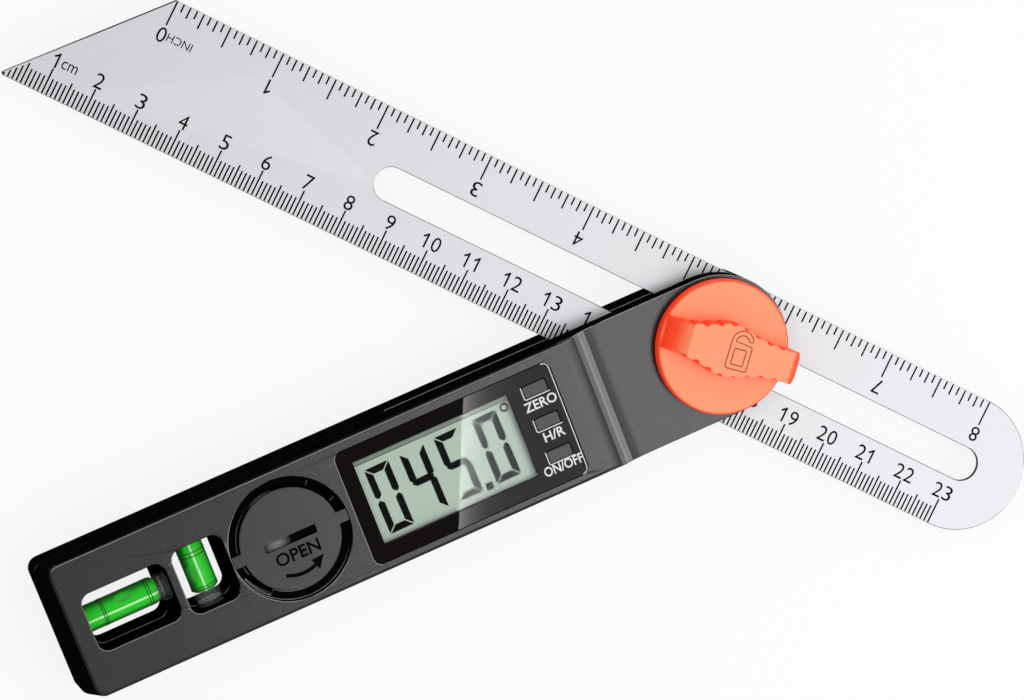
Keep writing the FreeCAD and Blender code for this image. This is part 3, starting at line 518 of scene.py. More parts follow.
def knob_plastic(name, lit_top_colour, shaded_side_colour):
    """Orange plastic with painted light: pale where it faces up, deep on its steep sides and at the lever's
    nose, where it also has a painted glow.
    """
    finish = Finish(name, specular_ior_level=0.2)
    normal = finish.node("ShaderNodeNewGeometry", output="Normal")
    lever = (finish.axis(finish.place, "X") * math.cos(KNOB_TURN)
             + finish.axis(finish.place, "Y") * math.sin(KNOB_TURN))
    # painted shade on the lever's nose, which is coloured like a steep side
    painted_nose_shade = finish.clamp(lever, KNOB_NOSE_SHADE[0] * MM, KNOB_NOSE_SHADE[1] * MM) * 0.8 + 0.2
    painted_light_share = finish.clamp(finish.axis(normal, "Z"), 0.55, 0.98) * painted_nose_shade
    cloud = finish.spread(140, 3)
    grain = finish.spread(5200, 2)
    # painted light: pale where the knob faces up, the shaded colour on its steep sides
    lit = finish.between(painted_light_share * painted_light_share, shaded_side_colour, lit_top_colour)
    # painted glow of the shaded colour on the steep sides
    finish.wear({"Base Color": finish.between(cloud * 0.2, lit, darker(lit_top_colour, 0.82)),
                 "Emission Color": finish.between(painted_light_share, shaded_side_colour, (0.0, 0.0, 0.0)),
                 "Roughness": 0.34 + cloud * 0.06 + grain * 0.05})
    finish.shader.inputs["Emission Strength"].default_value = 0.35
    finish.relief(grain, 0.000012, 0.45)
    return finish.material


def print_ink(name, colour):
    """Matt ink or etching fill, a little uneven."""
    finish = Finish(name, specular_ior_level=0.0)
    cloud = finish.spread(1300, 3)
    finish.wear({"Base Color": finish.between(cloud * 0.5, colour, darker(colour, 0.72)),
                 "Roughness": 0.6 + cloud * 0.2})
    return finish.material


def clear_selection():
    """Leave edit mode and deselect everything."""
    if bpy.context.object and bpy.context.object.mode != "OBJECT":
        bpy.ops.object.mode_set(mode="OBJECT")
    bpy.ops.object.select_all(action="DESELECT")


def take(piece):
    """Make a piece the only one selected, and the active one."""
    clear_selection()
    piece.select_set(True)
    bpy.context.view_layer.objects.active = piece


def named(name):
    """The new object, under its name."""
    piece = bpy.context.object
    piece.name = name
    piece.data.name = name
    return piece


def settle(piece):
    """Write a piece's place, turn and scale into its mesh."""
    take(piece)
    bpy.ops.object.transform_apply(location=True, rotation=True, scale=True)
    return piece


def modify(piece, kind, **settings):
    """Add a modifier with its settings and apply it."""
    take(piece)
    bpy.ops.object.modifier_add(type=kind)
    modifier = piece.modifiers[-1]
    for name, value in settings.items():
        setattr(modifier, name, value)
    bpy.ops.object.modifier_apply(modifier=modifier.name)
    return piece


def block(name, low, high):
    """A box between two corners, in millimetres."""
    clear_selection()
    centre = [(a + b) / 2 * MM for a, b in zip(low, high)]
    bpy.ops.mesh.primitive_cube_add(size=1, location=centre, scale=[(b - a) * MM for a, b in zip(low, high)])
    return settle(named(name))


def rod(name, start, end, radius, sides=48):
    """A round bar between two points, in millimetres."""
    clear_selection()
    start, end = Vector(start) * MM, Vector(end) * MM
    turn = (end - start).to_track_quat("Z", "Y").to_euler()
    bpy.ops.mesh.primitive_cylinder_add(vertices=sides, radius=radius * MM, depth=(end - start).length,
                                        location=(start + end) / 2, rotation=turn)
    return settle(named(name))


@contextmanager
def edited(piece, elements=(), chosen=None):
    """Edit a piece's mesh, with all of it selected, or those of its elements that a test chooses."""
    take(piece)
    bpy.ops.object.mode_set(mode="EDIT")
    bpy.ops.mesh.select_all(action="DESELECT" if chosen else "SELECT")
    if chosen:
        bpy.ops.object.mode_set(mode="OBJECT")
        for element in elements:
            element.select = chosen(element)
        bpy.ops.object.mode_set(mode="EDIT")
    yield
    bpy.ops.object.mode_set(mode="OBJECT")


def slice_off(piece, point, normal):
    """Cut a piece along a plane, drop the side that the normal points to, and close the cut."""
    with edited(piece):
        bpy.ops.mesh.bisect(plane_co=Vector(point) * MM, plane_no=normal, use_fill=True,
                            clear_outer=True)
    return piece


def shift(piece, chosen, step):
    """Move the corners that the given test chooses by a step, in millimetres."""
    with edited(piece, piece.data.vertices, lambda vertex: chosen(vertex.co / MM)):
        bpy.ops.transform.translate(value=Vector(step) * MM)
    return piece


def tidy_mesh(piece, angle=0.5):
    """Merge the loose corners of a mesh, melt its flat faces together and turn them outwards."""
    with edited(piece):
        bpy.ops.mesh.remove_doubles(threshold=MERGE_DISTANCE)
        if angle:
            bpy.ops.mesh.dissolve_limited(angle_limit=math.radians(angle))
        bpy.ops.mesh.normals_make_consistent(inside=False)
    return piece


def joined(name, parts):
    """Join several objects into one piece."""
    clear_selection()
    for part in parts:
        part.select_set(True)
    bpy.context.view_layer.objects.active = parts[0]
    if len(parts) > 1:
        bpy.ops.object.join()
    return named(name)


def carve(piece, tool, overlaps=False):
    """Cut a tool out of a piece and drop the tool, which may overlap itself if that is told."""
    modify(piece, "BOOLEAN", operation="DIFFERENCE", solver="EXACT", object=tool, use_self=overlaps)
    bpy.data.objects.remove(tool)
    return piece


def repeat(piece, count, step):
    """Copies of a piece in a row, in millimetres."""
    return modify(piece, "ARRAY", count=count, use_relative_offset=False, use_constant_offset=True,
                  constant_offset_displace=Vector(step) * MM)


def words(name, text, height, centre, z_low, z_high, turn=0.0, length=None, bold=False):
    """A printed word with its height, its middle, its lower and upper side, and its length if given."""
    clear_selection()
    bpy.ops.object.text_add(location=(0, 0, 0))
    text_object = bpy.context.object
    text_object.data.body = text
    text_object.data.resolution_u = 3
    text_object.data.extrude = 0.5
    text_object.data.offset = 0.018 if bold else 0.0
    bpy.ops.object.convert(target="MESH")
    word = named(name)
    tidy_mesh(word)
    bpy.ops.object.origin_set(type="ORIGIN_GEOMETRY", center="BOUNDS")
    scale = height * MM / word.dimensions.y
    long_scale = length * MM / word.dimensions.x if length else scale
    word.scale = (long_scale, scale, (z_high - z_low) * MM / word.dimensions.z)
    word.rotation_euler = (0, 0, turn)
    word.location = (centre[0] * MM, centre[1] * MM, (z_low + z_high) / 2 * MM)
    return settle(word)


def cad_copy(node, name, angle=0.5):
    """A merged copy of a node's solid, to be worked on, with its flat faces melted if an angle is given."""
    clear_selection()
    source = frame["nodes"][node]
    copy = source.copy()
    copy.data = source.data.copy()
    copy.parent = None
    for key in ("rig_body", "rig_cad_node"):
        if key in copy:
            del copy[key]
    bpy.context.scene.collection.objects.link(copy)
    copy.name = name
    copy.data.name = name
    return tidy_mesh(copy, angle)


def smooth(piece, angle=40):
    """Smooth the round parts of a piece, and keep its flat ones flat."""
    take(piece)
    bpy.ops.object.shade_smooth_by_angle(angle=math.radians(angle))
    return modify(piece, "WEIGHTED_NORMAL", keep_sharp=True, weight=80, use_face_influence=True)


def soften(piece, width, segments=2, angle=35, clamped=False):
    """Round the sharp edges of a piece and smooth the rest."""
    modify(piece, "BEVEL", width=width, segments=segments, limit_method="ANGLE",
           angle_limit=math.radians(angle), use_clamp_overlap=clamped, face_strength_mode="FSTR_ALL")
    return smooth(piece)


def curve_through(points, closed, dimensions):
    """A new curve object whose only line goes through the given points, in millimetres."""
    clear_selection()
    bpy.ops.curve.primitive_nurbs_path_add(location=(0, 0, 0))
    curve = bpy.context.object.data
    curve.dimensions = dimensions
    curve.splines.clear()
    spline = curve.splines.new("POLY")
    spline.points.add(len(points) - 1)
    for point, (x, y) in zip(spline.points, points):
        point.co = (x * MM, y * MM, 0, 1)
    spline.use_cyclic_u = closed
    return curve


def plate(name, points, low, high):
    """A flat plate with the given outline, between two heights, in millimetres."""
    curve = curve_through(points, True, "2D")
    curve.fill_mode = "BOTH"
    curve.extrude = (high - low) / 2 * MM
    bpy.ops.object.convert(target="MESH")
    piece = named(name)
    piece.location.z = (low + high) / 2 * MM
    return tidy_mesh(settle(piece))


def drawn_line(name, points, radius, z, closed=False):
    """A thin line of ink or engraving through points at one height, in millimetres."""
    curve = curve_through(points, closed, "3D")
    curve.bevel_depth = radius * MM
    curve.bevel_resolution = 1
    curve.use_fill_caps = True
    bpy.ops.object.convert(target="MESH")
    line = named(name)
    line.scale.z = PRINT_STANDS_OUT / radius
    line.location.z = z * MM
    return settle(line)


def arc_points(centre, radius, start, stop, steps):
    """Points along an arc, with its angles in degrees."""
    turns = [math.radians(start + (stop - start) * i / steps) for i in range(steps + 1)]
    return [(centre[0] + radius * math.cos(t), centre[1] + radius * math.sin(t)) for t in turns]


def round_corners(corners, radius, closed=True):
    """A path through corners, each rounded by a quarter of a circle or less."""
    path = []
    count = len(corners)
    for i, corner in enumerate(corners):
        corner = Vector(corner)
        if not closed and i in (0, count - 1):
            path.append(tuple(corner))
            continue
        before = (Vector(corners[i - 1]) - corner).normalized()
        after = (Vector(corners[(i + 1) % count]) - corner).normalized()
        for step in range(5):
            share = step / 4
            start, stop = corner + before * radius, corner + after * radius
            first, second = start.lerp(corner, share), corner.lerp(stop, share)
            path.append(tuple(first.lerp(second, share)))
    return path


def finished(piece, body, slot, material, *nodes):
    """Give a piece its material, the body that it rides on and the nodes it stands for, which are hidden; the
    slot is not used.
    """
    piece.data.materials.clear()
    piece.data.materials.append(material)
    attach(piece, body)
    if nodes:
        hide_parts(*nodes)
    return piece


def lay_on_rule(piece):
    """Bring a piece drawn along the rule, from its point, to the rule's place in the tool."""
    corner = -RULE_ALONG * rule_station() * MM - RULE_ACROSS * RULE_WIDTH / 2 * MM
    piece.rotation_euler = (0, 0, RULE_TURN)
    piece.location = corner
    return settle(piece)


class SLIDINGBEVEL_OT_stage(bpy.types.Operator):
    """Set up the camera, the pale floor and the soft lights"""
    bl_idname = "sliding_bevel.stage"
    bl_label = "Stage"

    def execute(self, context):
        settings = context.scene.bevel_stage
        clear_selection()
        bpy.ops.object.camera_add(location=settings.camera_place, rotation=settings.camera_turn)
        camera = named("camera")
        camera.data.sensor_width = 36
        camera.data.lens = settings.focal_length
        camera.data.clip_end = 20
        context.scene.camera = camera

        clear_selection()
        bpy.ops.mesh.primitive_plane_add(size=settings.floor_size)
        floor = named("floor")
        floor.data.materials.append(self.floor_material())

        self.lamp("side_lamp", settings.side_light, *self.side_lamp, self.image_up_turn)
        self.lamp("top_lamp", self.top_light, *self.top_lamp, 0.0)
        self.gloss_card()
        self.world(context, settings.fill_light)
        context.scene.view_settings.view_transform = "Standard"
        return {"FINISHED"}

    image_up_turn = math.radians(-23.6)     # a lamp turned so has its edges upright in the image
    side_lamp = ((0.271, -0.254, 0.6), (0.5, 0.6))      # place and size in metres
    top_lamp = ((-0.35, 0.5, 0.9), (0.5, 0.35))
    top_light = 1.4

    @staticmethod
    def lamp(name, power, place, size, turn):
        """A soft lamp that looks straight down."""
        clear_selection()
        bpy.ops.object.light_add(type="AREA", location=place, rotation=(0, 0, turn))
        lamp = named(name)
        lamp.data.shape = "RECTANGLE"
        lamp.data.size, lamp.data.size_y = size
        lamp.data.energy = power
        lamp.visible_glossy = False

    card_place = (0.1502, -0.2012, 0.6)     # in metres, as the next two lengths
    card_size = (0.25, 0.35)
    card_levels = (7.5, 49.0)               # of its wide part and of its left edge
    card_fade = 0.003                       # every such length from the edge halves the difference

    def gloss_card(self):
        """A bright card that only gloss shows: its left edge is the line across the display window."""
        clear_selection()
        bpy.ops.mesh.primitive_plane_add(size=1, location=self.card_place)
        card = named("gloss_card")
        card.scale = (*self.card_size, 1)
        take(card)
        bpy.ops.object.transform_apply(location=False, rotation=False, scale=True)
        card.rotation_euler = (0, 0, self.image_up_turn)
        finish = Finish("card_light")
        wide, edge = [finish.node("ShaderNodeEmission", {}, {"Color": (1.0, 1.0, 1.0), "Strength": level})
                      for level in self.card_levels]
        inwards = finish.axis(finish.place, "X") + self.card_size[0] / 2
        share = inwards.sum("POWER", 0.5, inwards / self.card_fade)
        finish.show(finish.node("ShaderNodeMixShader", {}, {0: share, 1: wide, 2: edge}))
        card.data.materials.append(finish.material)
        card.visible_camera = card.visible_diffuse = card.visible_shadow = False
        card.visible_transmission = False

    @staticmethod
    def seen_directly(nodes):
        """One for rays from the camera, and for what gloss and glass show."""
        path = nodes.tree.nodes.new("ShaderNodeLightPath")
        rays = [Value(nodes, path.outputs[name])
                for name in ("Is Camera Ray", "Is Glossy Ray", "Is Transmission Ray")]
        return rays[0].or_more(rays[1]).or_more(rays[2])

    white_share = 0.86                      # of plain white in the floor, the rest takes the shadow

    def floor_material(self):
        """White where the camera sees it, with part of the object's shadow left."""
        finish = Finish("pale_floor", roughness=0.9, base_color=(0.86, 0.86, 0.86), specular_ior_level=0.1)
        glow = finish.node("ShaderNodeEmission", {}, {"Color": (1.0, 1.0, 1.0), "Strength": 1.0})
        seen = self.seen_directly(finish) * self.white_share
        finish.show(finish.node("ShaderNodeMixShader", {}, {0: seen, 1: finish.surface(), 2: glow}))
        return finish.material

    def world(self, context, fill):
        """White behind the object, and an even light from all round."""
        world = bpy.data.worlds.new("pale_room")
        context.scene.world = world
        world.use_nodes = True
        nodes = Nodes(world.node_tree)
        light = nodes.node("ShaderNodeBackground", {}, {"Color": (1.0, 1.0, 1.0), "Strength": fill})
        backdrop = nodes.node("ShaderNodeBackground", {}, {"Color": (1.0, 1.0, 1.0), "Strength": 1.0})
        mixed = nodes.node("ShaderNodeMixShader", {}, {0: self.seen_directly(nodes), 1: light, 2: backdrop})
        nodes.tree.links.new(mixed.socket, nodes.tree.nodes["World Output"].inputs["Surface"])


class SLIDINGBEVEL_OT_materials(bpy.types.Operator):
    """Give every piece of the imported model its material"""
    bl_idname = "sliding_bevel.materials"
    bl_label = "Materials of the packed pieces"

    def execute(self, context):
        scene = context.scene
        stock, rule = scene.bevel_stock, scene.bevel_rule
        display, knob = scene.bevel_display, scene.bevel_knob
        cover_low, cover_high = box_mm("battery_cover")
        cover_middle = (cover_low.x + cover_high.x) / 2
        plastic = moulded_plastic("stock_plastic", stock.plastic, stock.rim, stock.grain_depth, 12.9)
        screw_steel = turned_metal("screw_steel", shade(150, 151, 155), 0.32)
        bright_steel = turned_metal("bright_steel", shade(196, 197, 200), 0.2)
        liner_steel = turned_metal("liner_steel", shade(168, 170, 172), 0.34, 900)
        nylon = soft_plastic("nylon", shade(226, 224, 214), 0.45)
        clear = clear_plastic("clear_acrylic", (0.85, 0.92, 0.86), 0.04)
        plugs = clear_plastic("plug_acrylic", (0.05, 0.08, 0.06), 0.35, 0.12)
        materials = {
            "front_housing": plastic,
            "rear_housing": plastic,
            "housing_screws": screw_steel,
            "display_lens": gloss_black("window_gloss", display.window),
            "lcd_panel": display_glass("display_glass", display.screen),
            "zebra_strip": soft_plastic("contact_rubber", shade(205, 120, 128), 0.6),
            "circuit_board": board_laminate("board_laminate"),
            "controller_chip": soft_plastic("chip_resin", shade(30, 30, 31), 0.5),
            "board_screws": screw_steel,
            "dome_switches": bright_steel,
            "front_slot_plate": liner_steel,
            "rear_slot_plate": liner_steel,
            "upper_friction_washer": nylon,
            "lower_friction_washer": nylon,
            "thrust_washer": bright_steel,
            "clamp_bolt": screw_steel,
            "turn_hub": turned_metal("hub_brass", shade(206, 170, 96), 0.3),
            "encoder_rotor": board_laminate("rotor_laminate"),
            "rule_blade": satin_rule_steel("satin_steel", rule.steel),
            "lock_knob": knob_plastic("knob_plastic", knob.top, knob.side),
            "knob_insert": turned_metal("insert_brass", shade(206, 170, 96), 0.3),
            # painted shade below the cover's top, and a painted glint in the coin slot 3 mm left of its
            # middle
            "battery_cover": moulded_plastic("cover_grain", stock.cover, stock.rim, stock.grain_depth,
                                             cover_high.z - 0.15, 0.25, cover_middle - 3),
            "battery_cell": turned_metal("cell_steel", shade(205, 206, 208), 0.24, 700),
            "battery_contact_negative": bright_steel,
            "battery_contact_positive": bright_steel,
            "level_tube_long": clear,
            "level_plugs_long": plugs,
            "level_fluid_long": clear,
            "level_tube_cross": clear,
            "level_plugs_cross": plugs,
            "level_fluid_cross": clear,
        }
        key = moulded_plastic("key_plastic", display.key, stock.rim, stock.grain_depth * 0.6, 13.5, 0.3)
        for name in ("button_zero", "button_hold", "button_power"):
            materials[name] = key
        for name, node in frame["nodes"].items():
            node.data.materials.clear()
            node.data.materials.append(materials[name])
        return {"FINISHED"}


class SLIDINGBEVEL_OT_housing(bpy.types.Operator):
    """Round the moulded edges of both halves of the stock"""
    bl_idname = "sliding_bevel.housing"
    bl_label = "Stock"

    def execute(self, context):
        width = context.scene.bevel_stock.edge_round
        for node in ("front_housing", "rear_housing"):
            shell = cad_copy(node, node + "_moulded", None)
            self.open_windows(shell, self.windows[node])
            if node == "front_housing":
                top = box_mm(node)[1].z - 1
                shift(shell, lambda place: place.z > top and place.x < -150.5, (self.end_draft, 0, 0))
            soften(shell, width)
            finished(shell, "handle", "black_plastic", bpy.data.materials["stock_plastic"], node)
        return {"FINISHED"}

    # a window's middle and half sizes, then how far its sides move: left, right, low, high
    windows = {"front_housing": ((-139.85, 0.2, 9.3, 6.7, -0.3, 1.2, -0.35, 0.3),
                                 (-122.6, 0.4, 5.6, 7.6, 0.0, 0.95, -0.5, 0.0)),
               "rear_housing": ((-139.85, 0.2, 9.3, 6.7, 0.0, -0.7, 0.0, 0.0),)}
    end_draft = 2.0                 # how far the left end of the face lies behind the stock's left end

    @staticmethod
    def open_windows(shell, windows):
        """Move the walls of the level windows, which end a little past the ends of their tubes."""

        def side_of(window, axis, sign):
            def chosen(place):
                offset = (place.x - window[0], place.y - window[1])
                return abs(offset[0]) < window[2] and abs(offset[1]) < window[3] and offset[axis] * sign > 0
            return chosen

        for window in windows:
            sides = ((0, -1), (0, 1), (1, -1), (1, 1))
            for (axis, sign), step in zip(sides, window[4:]):
                if step:
                    shift(shell, side_of(window, axis, sign), (0, step, 0) if axis else (step, 0, 0))


class SLIDINGBEVEL_OT_rule(bpy.types.Operator):
    """Break the edges of the steel rule"""
    bl_idname = "sliding_bevel.rule"
    bl_label = "Rule"

    def execute(self, context):
        rule = cad_copy("rule_blade", "rule_with_broken_edges")
        soften(rule, 0.13 * MM, 1)
        finished(rule, "blade", "rule_steel", bpy.data.materials["satin_steel"], "rule_blade")
        return {"FINISHED"}


class SLIDINGBEVEL_OT_rule_scales(bpy.types.Operator):
    """Etch the lines of the centimetre and the inch scale"""
    bl_idname = "sliding_bevel.rule_scales"
    bl_label = "Scales of the rule"

    last_centimetre = 23
    centimetre_lines = (3.8, 4.7, 5.8)      # reach of a millimetre, half a centimetre and a whole one
    inch_line = 5.7
    inch_parts = ((2, 4.8), (4, 3.55), (8, 2.65), (16, 2.0))
    last_inch = 8
    inch = 25.4
    edge_margin = 0.15
    slant_length = 27.2                     # of the rule's pointed end

    def execute(self, context):
        settings = context.scene.bevel_rule
        self.half = settings.mark_width / MM / 2
        top = box_mm("rule_blade")[1].z
        self.low, self.high = top - PRINT_SINKS, top + PRINT_STANDS_OUT
        ink = print_ink("rule_marks", settings.mark)
        scale = joined("centimetre_scale", self.centimetres())
        for piece, name in ((scale, "centimetre_scale"),
                            (joined("inch_scale", self.inches(settings.inch_start / MM)), "inch_scale")):
            lay_on_rule(piece)
            finished(piece, "blade", "rule_steel", ink)
        return {"FINISHED"}

    def line(self, name, station, start, end):
        """One line across the rule, between two distances from its lower edge."""
        return block(name, (station - self.half, start, self.low), (station + self.half, end, self.high))

    def row(self, name, station, start, end, *repeats):
        """A line that is repeated along the rule, each time by a count and a step."""
        line = self.line(name, station, start, end)
        for count, step in repeats:
            repeat(line, count, (step, 0, 0))
        return line

    def centimetres(self):
        """Lines of a millimetre, half a centimetre and a whole one."""
        margin, last = self.edge_margin, self.last_centimetre
        short, half, whole = self.centimetre_lines
        first = self.row("millimetres", 1, margin, short, (4, 1))
        slice_off(first, (margin * 2, 0, 0), (-RULE_WIDTH, self.slant_length, 0))
        return [first,
                self.row("more_millimetres", 6, margin, short, (4, 1)),
                self.row("other_millimetres", 11, margin, short, (4, 1), (2, 5), (last - 1, 10)),
                self.row("halves", 5, margin, half, (last, 10)),
                self.row("wholes", 10, margin, whole, (last, 10))]

    def inches(self, start):
        """Lines of an inch and its parts."""
        upper = RULE_WIDTH - self.edge_margin
        parts = [self.row("inches", start, RULE_WIDTH - self.inch_line, upper,
                          (self.last_inch + 1, self.inch))]
        for divisor, length in self.inch_parts:
            step = self.inch / divisor
            parts.append(self.row("parts", start + step, RULE_WIDTH - length, upper,
                                  (self.last_inch * divisor // 2, 2 * step)))
        return parts


class SLIDINGBEVEL_OT_rule_numbers(bpy.types.Operator):
    """Etch the numbers of both scales"""
    bl_idname = "sliding_bevel.rule_numbers"
    bl_label = "Numbers of the rule"

    centimetre_bottom = 6.0
    inch_bottom = 6.25
    unit_height = 1.75
    unit_lengths = (3.6, 5.8)
    figure_share = 0.62             # width of a figure, as a share of its height
    figure_pitch = 1.22             # from one figure to the next, as a share of that width
    line_share = 0.13               # width of the lines of a figure

    def execute(self, context):
        settings = context.scene.bevel_rule
        height = settings.number_height / MM
        top = box_mm("rule_blade")[1].z
        low, high = top - PRINT_SINKS, top + PRINT_STANDS_OUT
        ink = bpy.data.materials["rule_marks"]
        last = SLIDINGBEVEL_OT_rule_scales.last_centimetre
        middle = self.centimetre_bottom + height / 2
        numbers = [self.number(i, height, (10 * i, middle), low, high) for i in range(1, last + 1)]
        numbers.append(words("unit", "cm", self.unit_height, (13.0, 7.4), low, high, 0.0,
                             self.unit_lengths[0]))
        middle = RULE_WIDTH - self.inch_bottom - height / 2
        start = settings.inch_start / MM
        inch = SLIDINGBEVEL_OT_rule_scales.inch
        inches = [self.number(i, height, (start + inch * i, middle), low, high, math.pi)
                  for i in range(SLIDINGBEVEL_OT_rule_scales.last_inch + 1)]
        inches.append(words("unit", "INCH", self.unit_height, (start + 4.22, middle + 0.14), low, high,
                            math.pi, self.unit_lengths[1]))
        for name, parts in (("centimetre_numbers", numbers), ("inch_numbers", inches)):
            piece = lay_on_rule(joined(name, parts))
            finished(piece, "blade", "rule_steel", ink)
        return {"FINISHED"}

    def number(self, value, height, centre, low, high, turn=0.0):
        """A number of one or two figures of even width, turned about its middle."""
        figures = str(value)
        width = height * self.figure_share
        pitch = width * self.figure_pitch
        parts = []
        for i, figure in enumerate(figures):
            x = (i - (len(figures) - 1) / 2) * pitch
            if figure == "1":
                parts.append(self.one(x, height, low, high))
            else:
                parts.append(words("figure", figure, height, (x, 0), low, high, 0.0, width))
        number = joined("number", parts)
        number.rotation_euler = (0, 0, turn)
        number.location = (centre[0] * MM, centre[1] * MM, 0)
        return settle(number)

    def one(self, x, height, low, high):
        """The figure 1: a stem and a short flag."""
        line = height * self.line_share
        right = x + height * 0.1
        stem = block("stem", (right - line, -height / 2, low), (right, height / 2, high))
        flag = block("flag", (-height * 0.41, -line / 2, low), (0, line / 2, high))
        flag.rotation_euler = (0, 0, math.radians(38))
        flag.location = ((right - line * 0.3) * MM, (height / 2 - line * 0.45) * MM, 0)
        return joined("one", [stem, settle(flag)])


class SLIDINGBEVEL_OT_display_window(bpy.types.Operator):
    """Make the black frame of the display and the clear pane in it"""
    bl_idname = "sliding_bevel.display_window"
    bl_label = "Display window"

    pane_left, pane_right = 3.35, 10.7     # margins between the pane and the ends of the window
    pane_low, pane_high = 3.7, 3.3

    def pane_corners(self):
        """The clear part of the window: its corners, in millimetres."""
        low, high = box_mm("display_lens")
        return (Vector((low.x + self.pane_left, low.y + self.pane_low, low.z)),
                Vector((high.x - self.pane_right, high.y - self.pane_high, high.z)))

    def execute(self, context):
        low, high = self.pane_corners()
        window = cad_copy("display_lens", "window_frame")
        carve(window, block("opening", (low.x, low.y, low.z - 1), (high.x, high.y, high.z + 1)))
        soften(window, 0.08 * MM, clamped=True)
        finished(window, "handle", "lens_black", bpy.data.materials["window_gloss"], "display_lens")
        pane = block("window_pane", (low.x, low.y, high.z - 0.5), (high.x, high.y, high.z - 0.02))
        soften(pane, 0.06 * MM)
        acrylic = clear_plastic("pane_acrylic", (0.3, 0.3, 0.3), 0.0125, 0.004, 1.0)
        finished(pane, "handle", "lens_black", acrylic)
        return {"FINISHED"}


class SLIDINGBEVEL_OT_display_figures(bpy.types.Operator):
    """Show the reading on the display"""
    bl_idname = "sliding_bevel.display_figures"
    bl_label = "Figures"

    figure_starts = (1.95, 10.25, 18.45, 27.55)    # from the pane's left edge
    from_top = 2.57
    point_centre = (25.8, 17.4)
    point_side = 1.6
    degree_centre = (35.2, 2.95)
    degree_radius = 0.82
    turn = math.radians(1.15)                       # the display lies a little askew behind its window
    middle_share = 0.48                             # of the height, above the middle stroke
    split = 0.13                                    # half the gap between two strokes
    slant = 0.8                                     # of the ends at the middle stroke (1: 45 degrees)
    tip_share = 0.42                                # of the stroke's width, where those ends are pointed
    strokes_of = {"0": "abcdef", "1": "bc", "2": "abged", "3": "abgcd", "4": "fgbc", "5": "afgcd",
                  "6": "afgedc", "7": "abc", "8": "abcdefg", "9": "abcdfg"}

    def execute(self, context):
        settings = context.scene.bevel_display
        low, high = SLIDINGBEVEL_OT_display_window.pane_corners(SLIDINGBEVEL_OT_display_window)
        self.width = settings.figure_width / MM
        self.height = settings.figure_height / MM
        self.stroke = settings.stroke / MM
        glass = box_mm("lcd_panel")[1].z
        self.low, self.high = glass - PRINT_SINKS, glass + 0.03
        parts = []
        for figure, start in zip(settings.reading, self.figure_starts):
            for stroke in self.strokes_of[figure]:
                parts.append(self.figure_stroke(stroke, low.x + start, high.y - self.from_top))
        x, y = low.x + self.point_centre[0], high.y - self.point_centre[1]
        half = self.point_side / 2
        parts.append(block("point", (x - half, y - half, self.low), (x + half, y + half, self.high)))
        centre = (low.x + self.degree_centre[0], high.y - self.degree_centre[1])
        parts.append(drawn_line("degree", arc_points(centre, self.degree_radius, 0, 345, 23), 0.21,
                                glass + PRINT_STANDS_OUT, True))
        figures = joined("display_figures", parts)
        bpy.ops.object.origin_set(type="ORIGIN_GEOMETRY", center="BOUNDS")
        figures.rotation_euler = (0, 0, self.turn)
        settle(figures)
        finished(figures, "handle", "lcd_glass", print_ink("figure_ink", settings.figure))
        return {"FINISHED"}

    def figure_stroke(self, stroke, left, top):
        """One stroke of a figure, with its ends cut at half a right angle."""
        right, bottom = left + self.width, top - self.height
        middle = top - self.height * self.middle_share
        t, gap = self.stroke, self.split * math.sqrt(2)
        if stroke in "adg":
            centre = {"a": top - t / 2, "d": bottom + t / 2, "g": middle}[stroke]
            piece = block(stroke, (left, centre - t / 2, self.low), (right, centre + t / 2, self.high))
            outer = {"a": top, "d": bottom, "g": middle}[stroke]
            sides = {"a": (-1,), "d": (1,), "g": (-1, 1)}[stroke]
            steep = self.slant if stroke == "g" else 1
            for side in sides:
                slice_off(piece, (left + gap, outer, 0), (-steep, side, 0))
                slice_off(piece, (right - gap, outer, 0), (steep, side, 0))
            return piece
        x0, x1, outer, inward = (left, left + t, left, 1) if stroke in "ef" else (right - t, right, right, -1)
        y0, y1 = (middle, top) if stroke in "bf" else (bottom, middle)
        piece = block(stroke, (x0, y0, self.low), (x1, y1, self.high))
        corner, inner, up = (y1 - gap, y0 + gap, 1) if stroke in "bf" else (y0 + gap, y1 - gap, -1)
        slice_off(piece, (outer, corner, 0), (inward, up, 0))
        tip = outer + inward * t * self.tip_share
        slice_off(piece, (tip, inner, 0), (inward * self.slant, -up, 0))
        slice_off(piece, (tip, inner, 0), (-inward * self.slant * 1.6, -up, 0))
        return piece


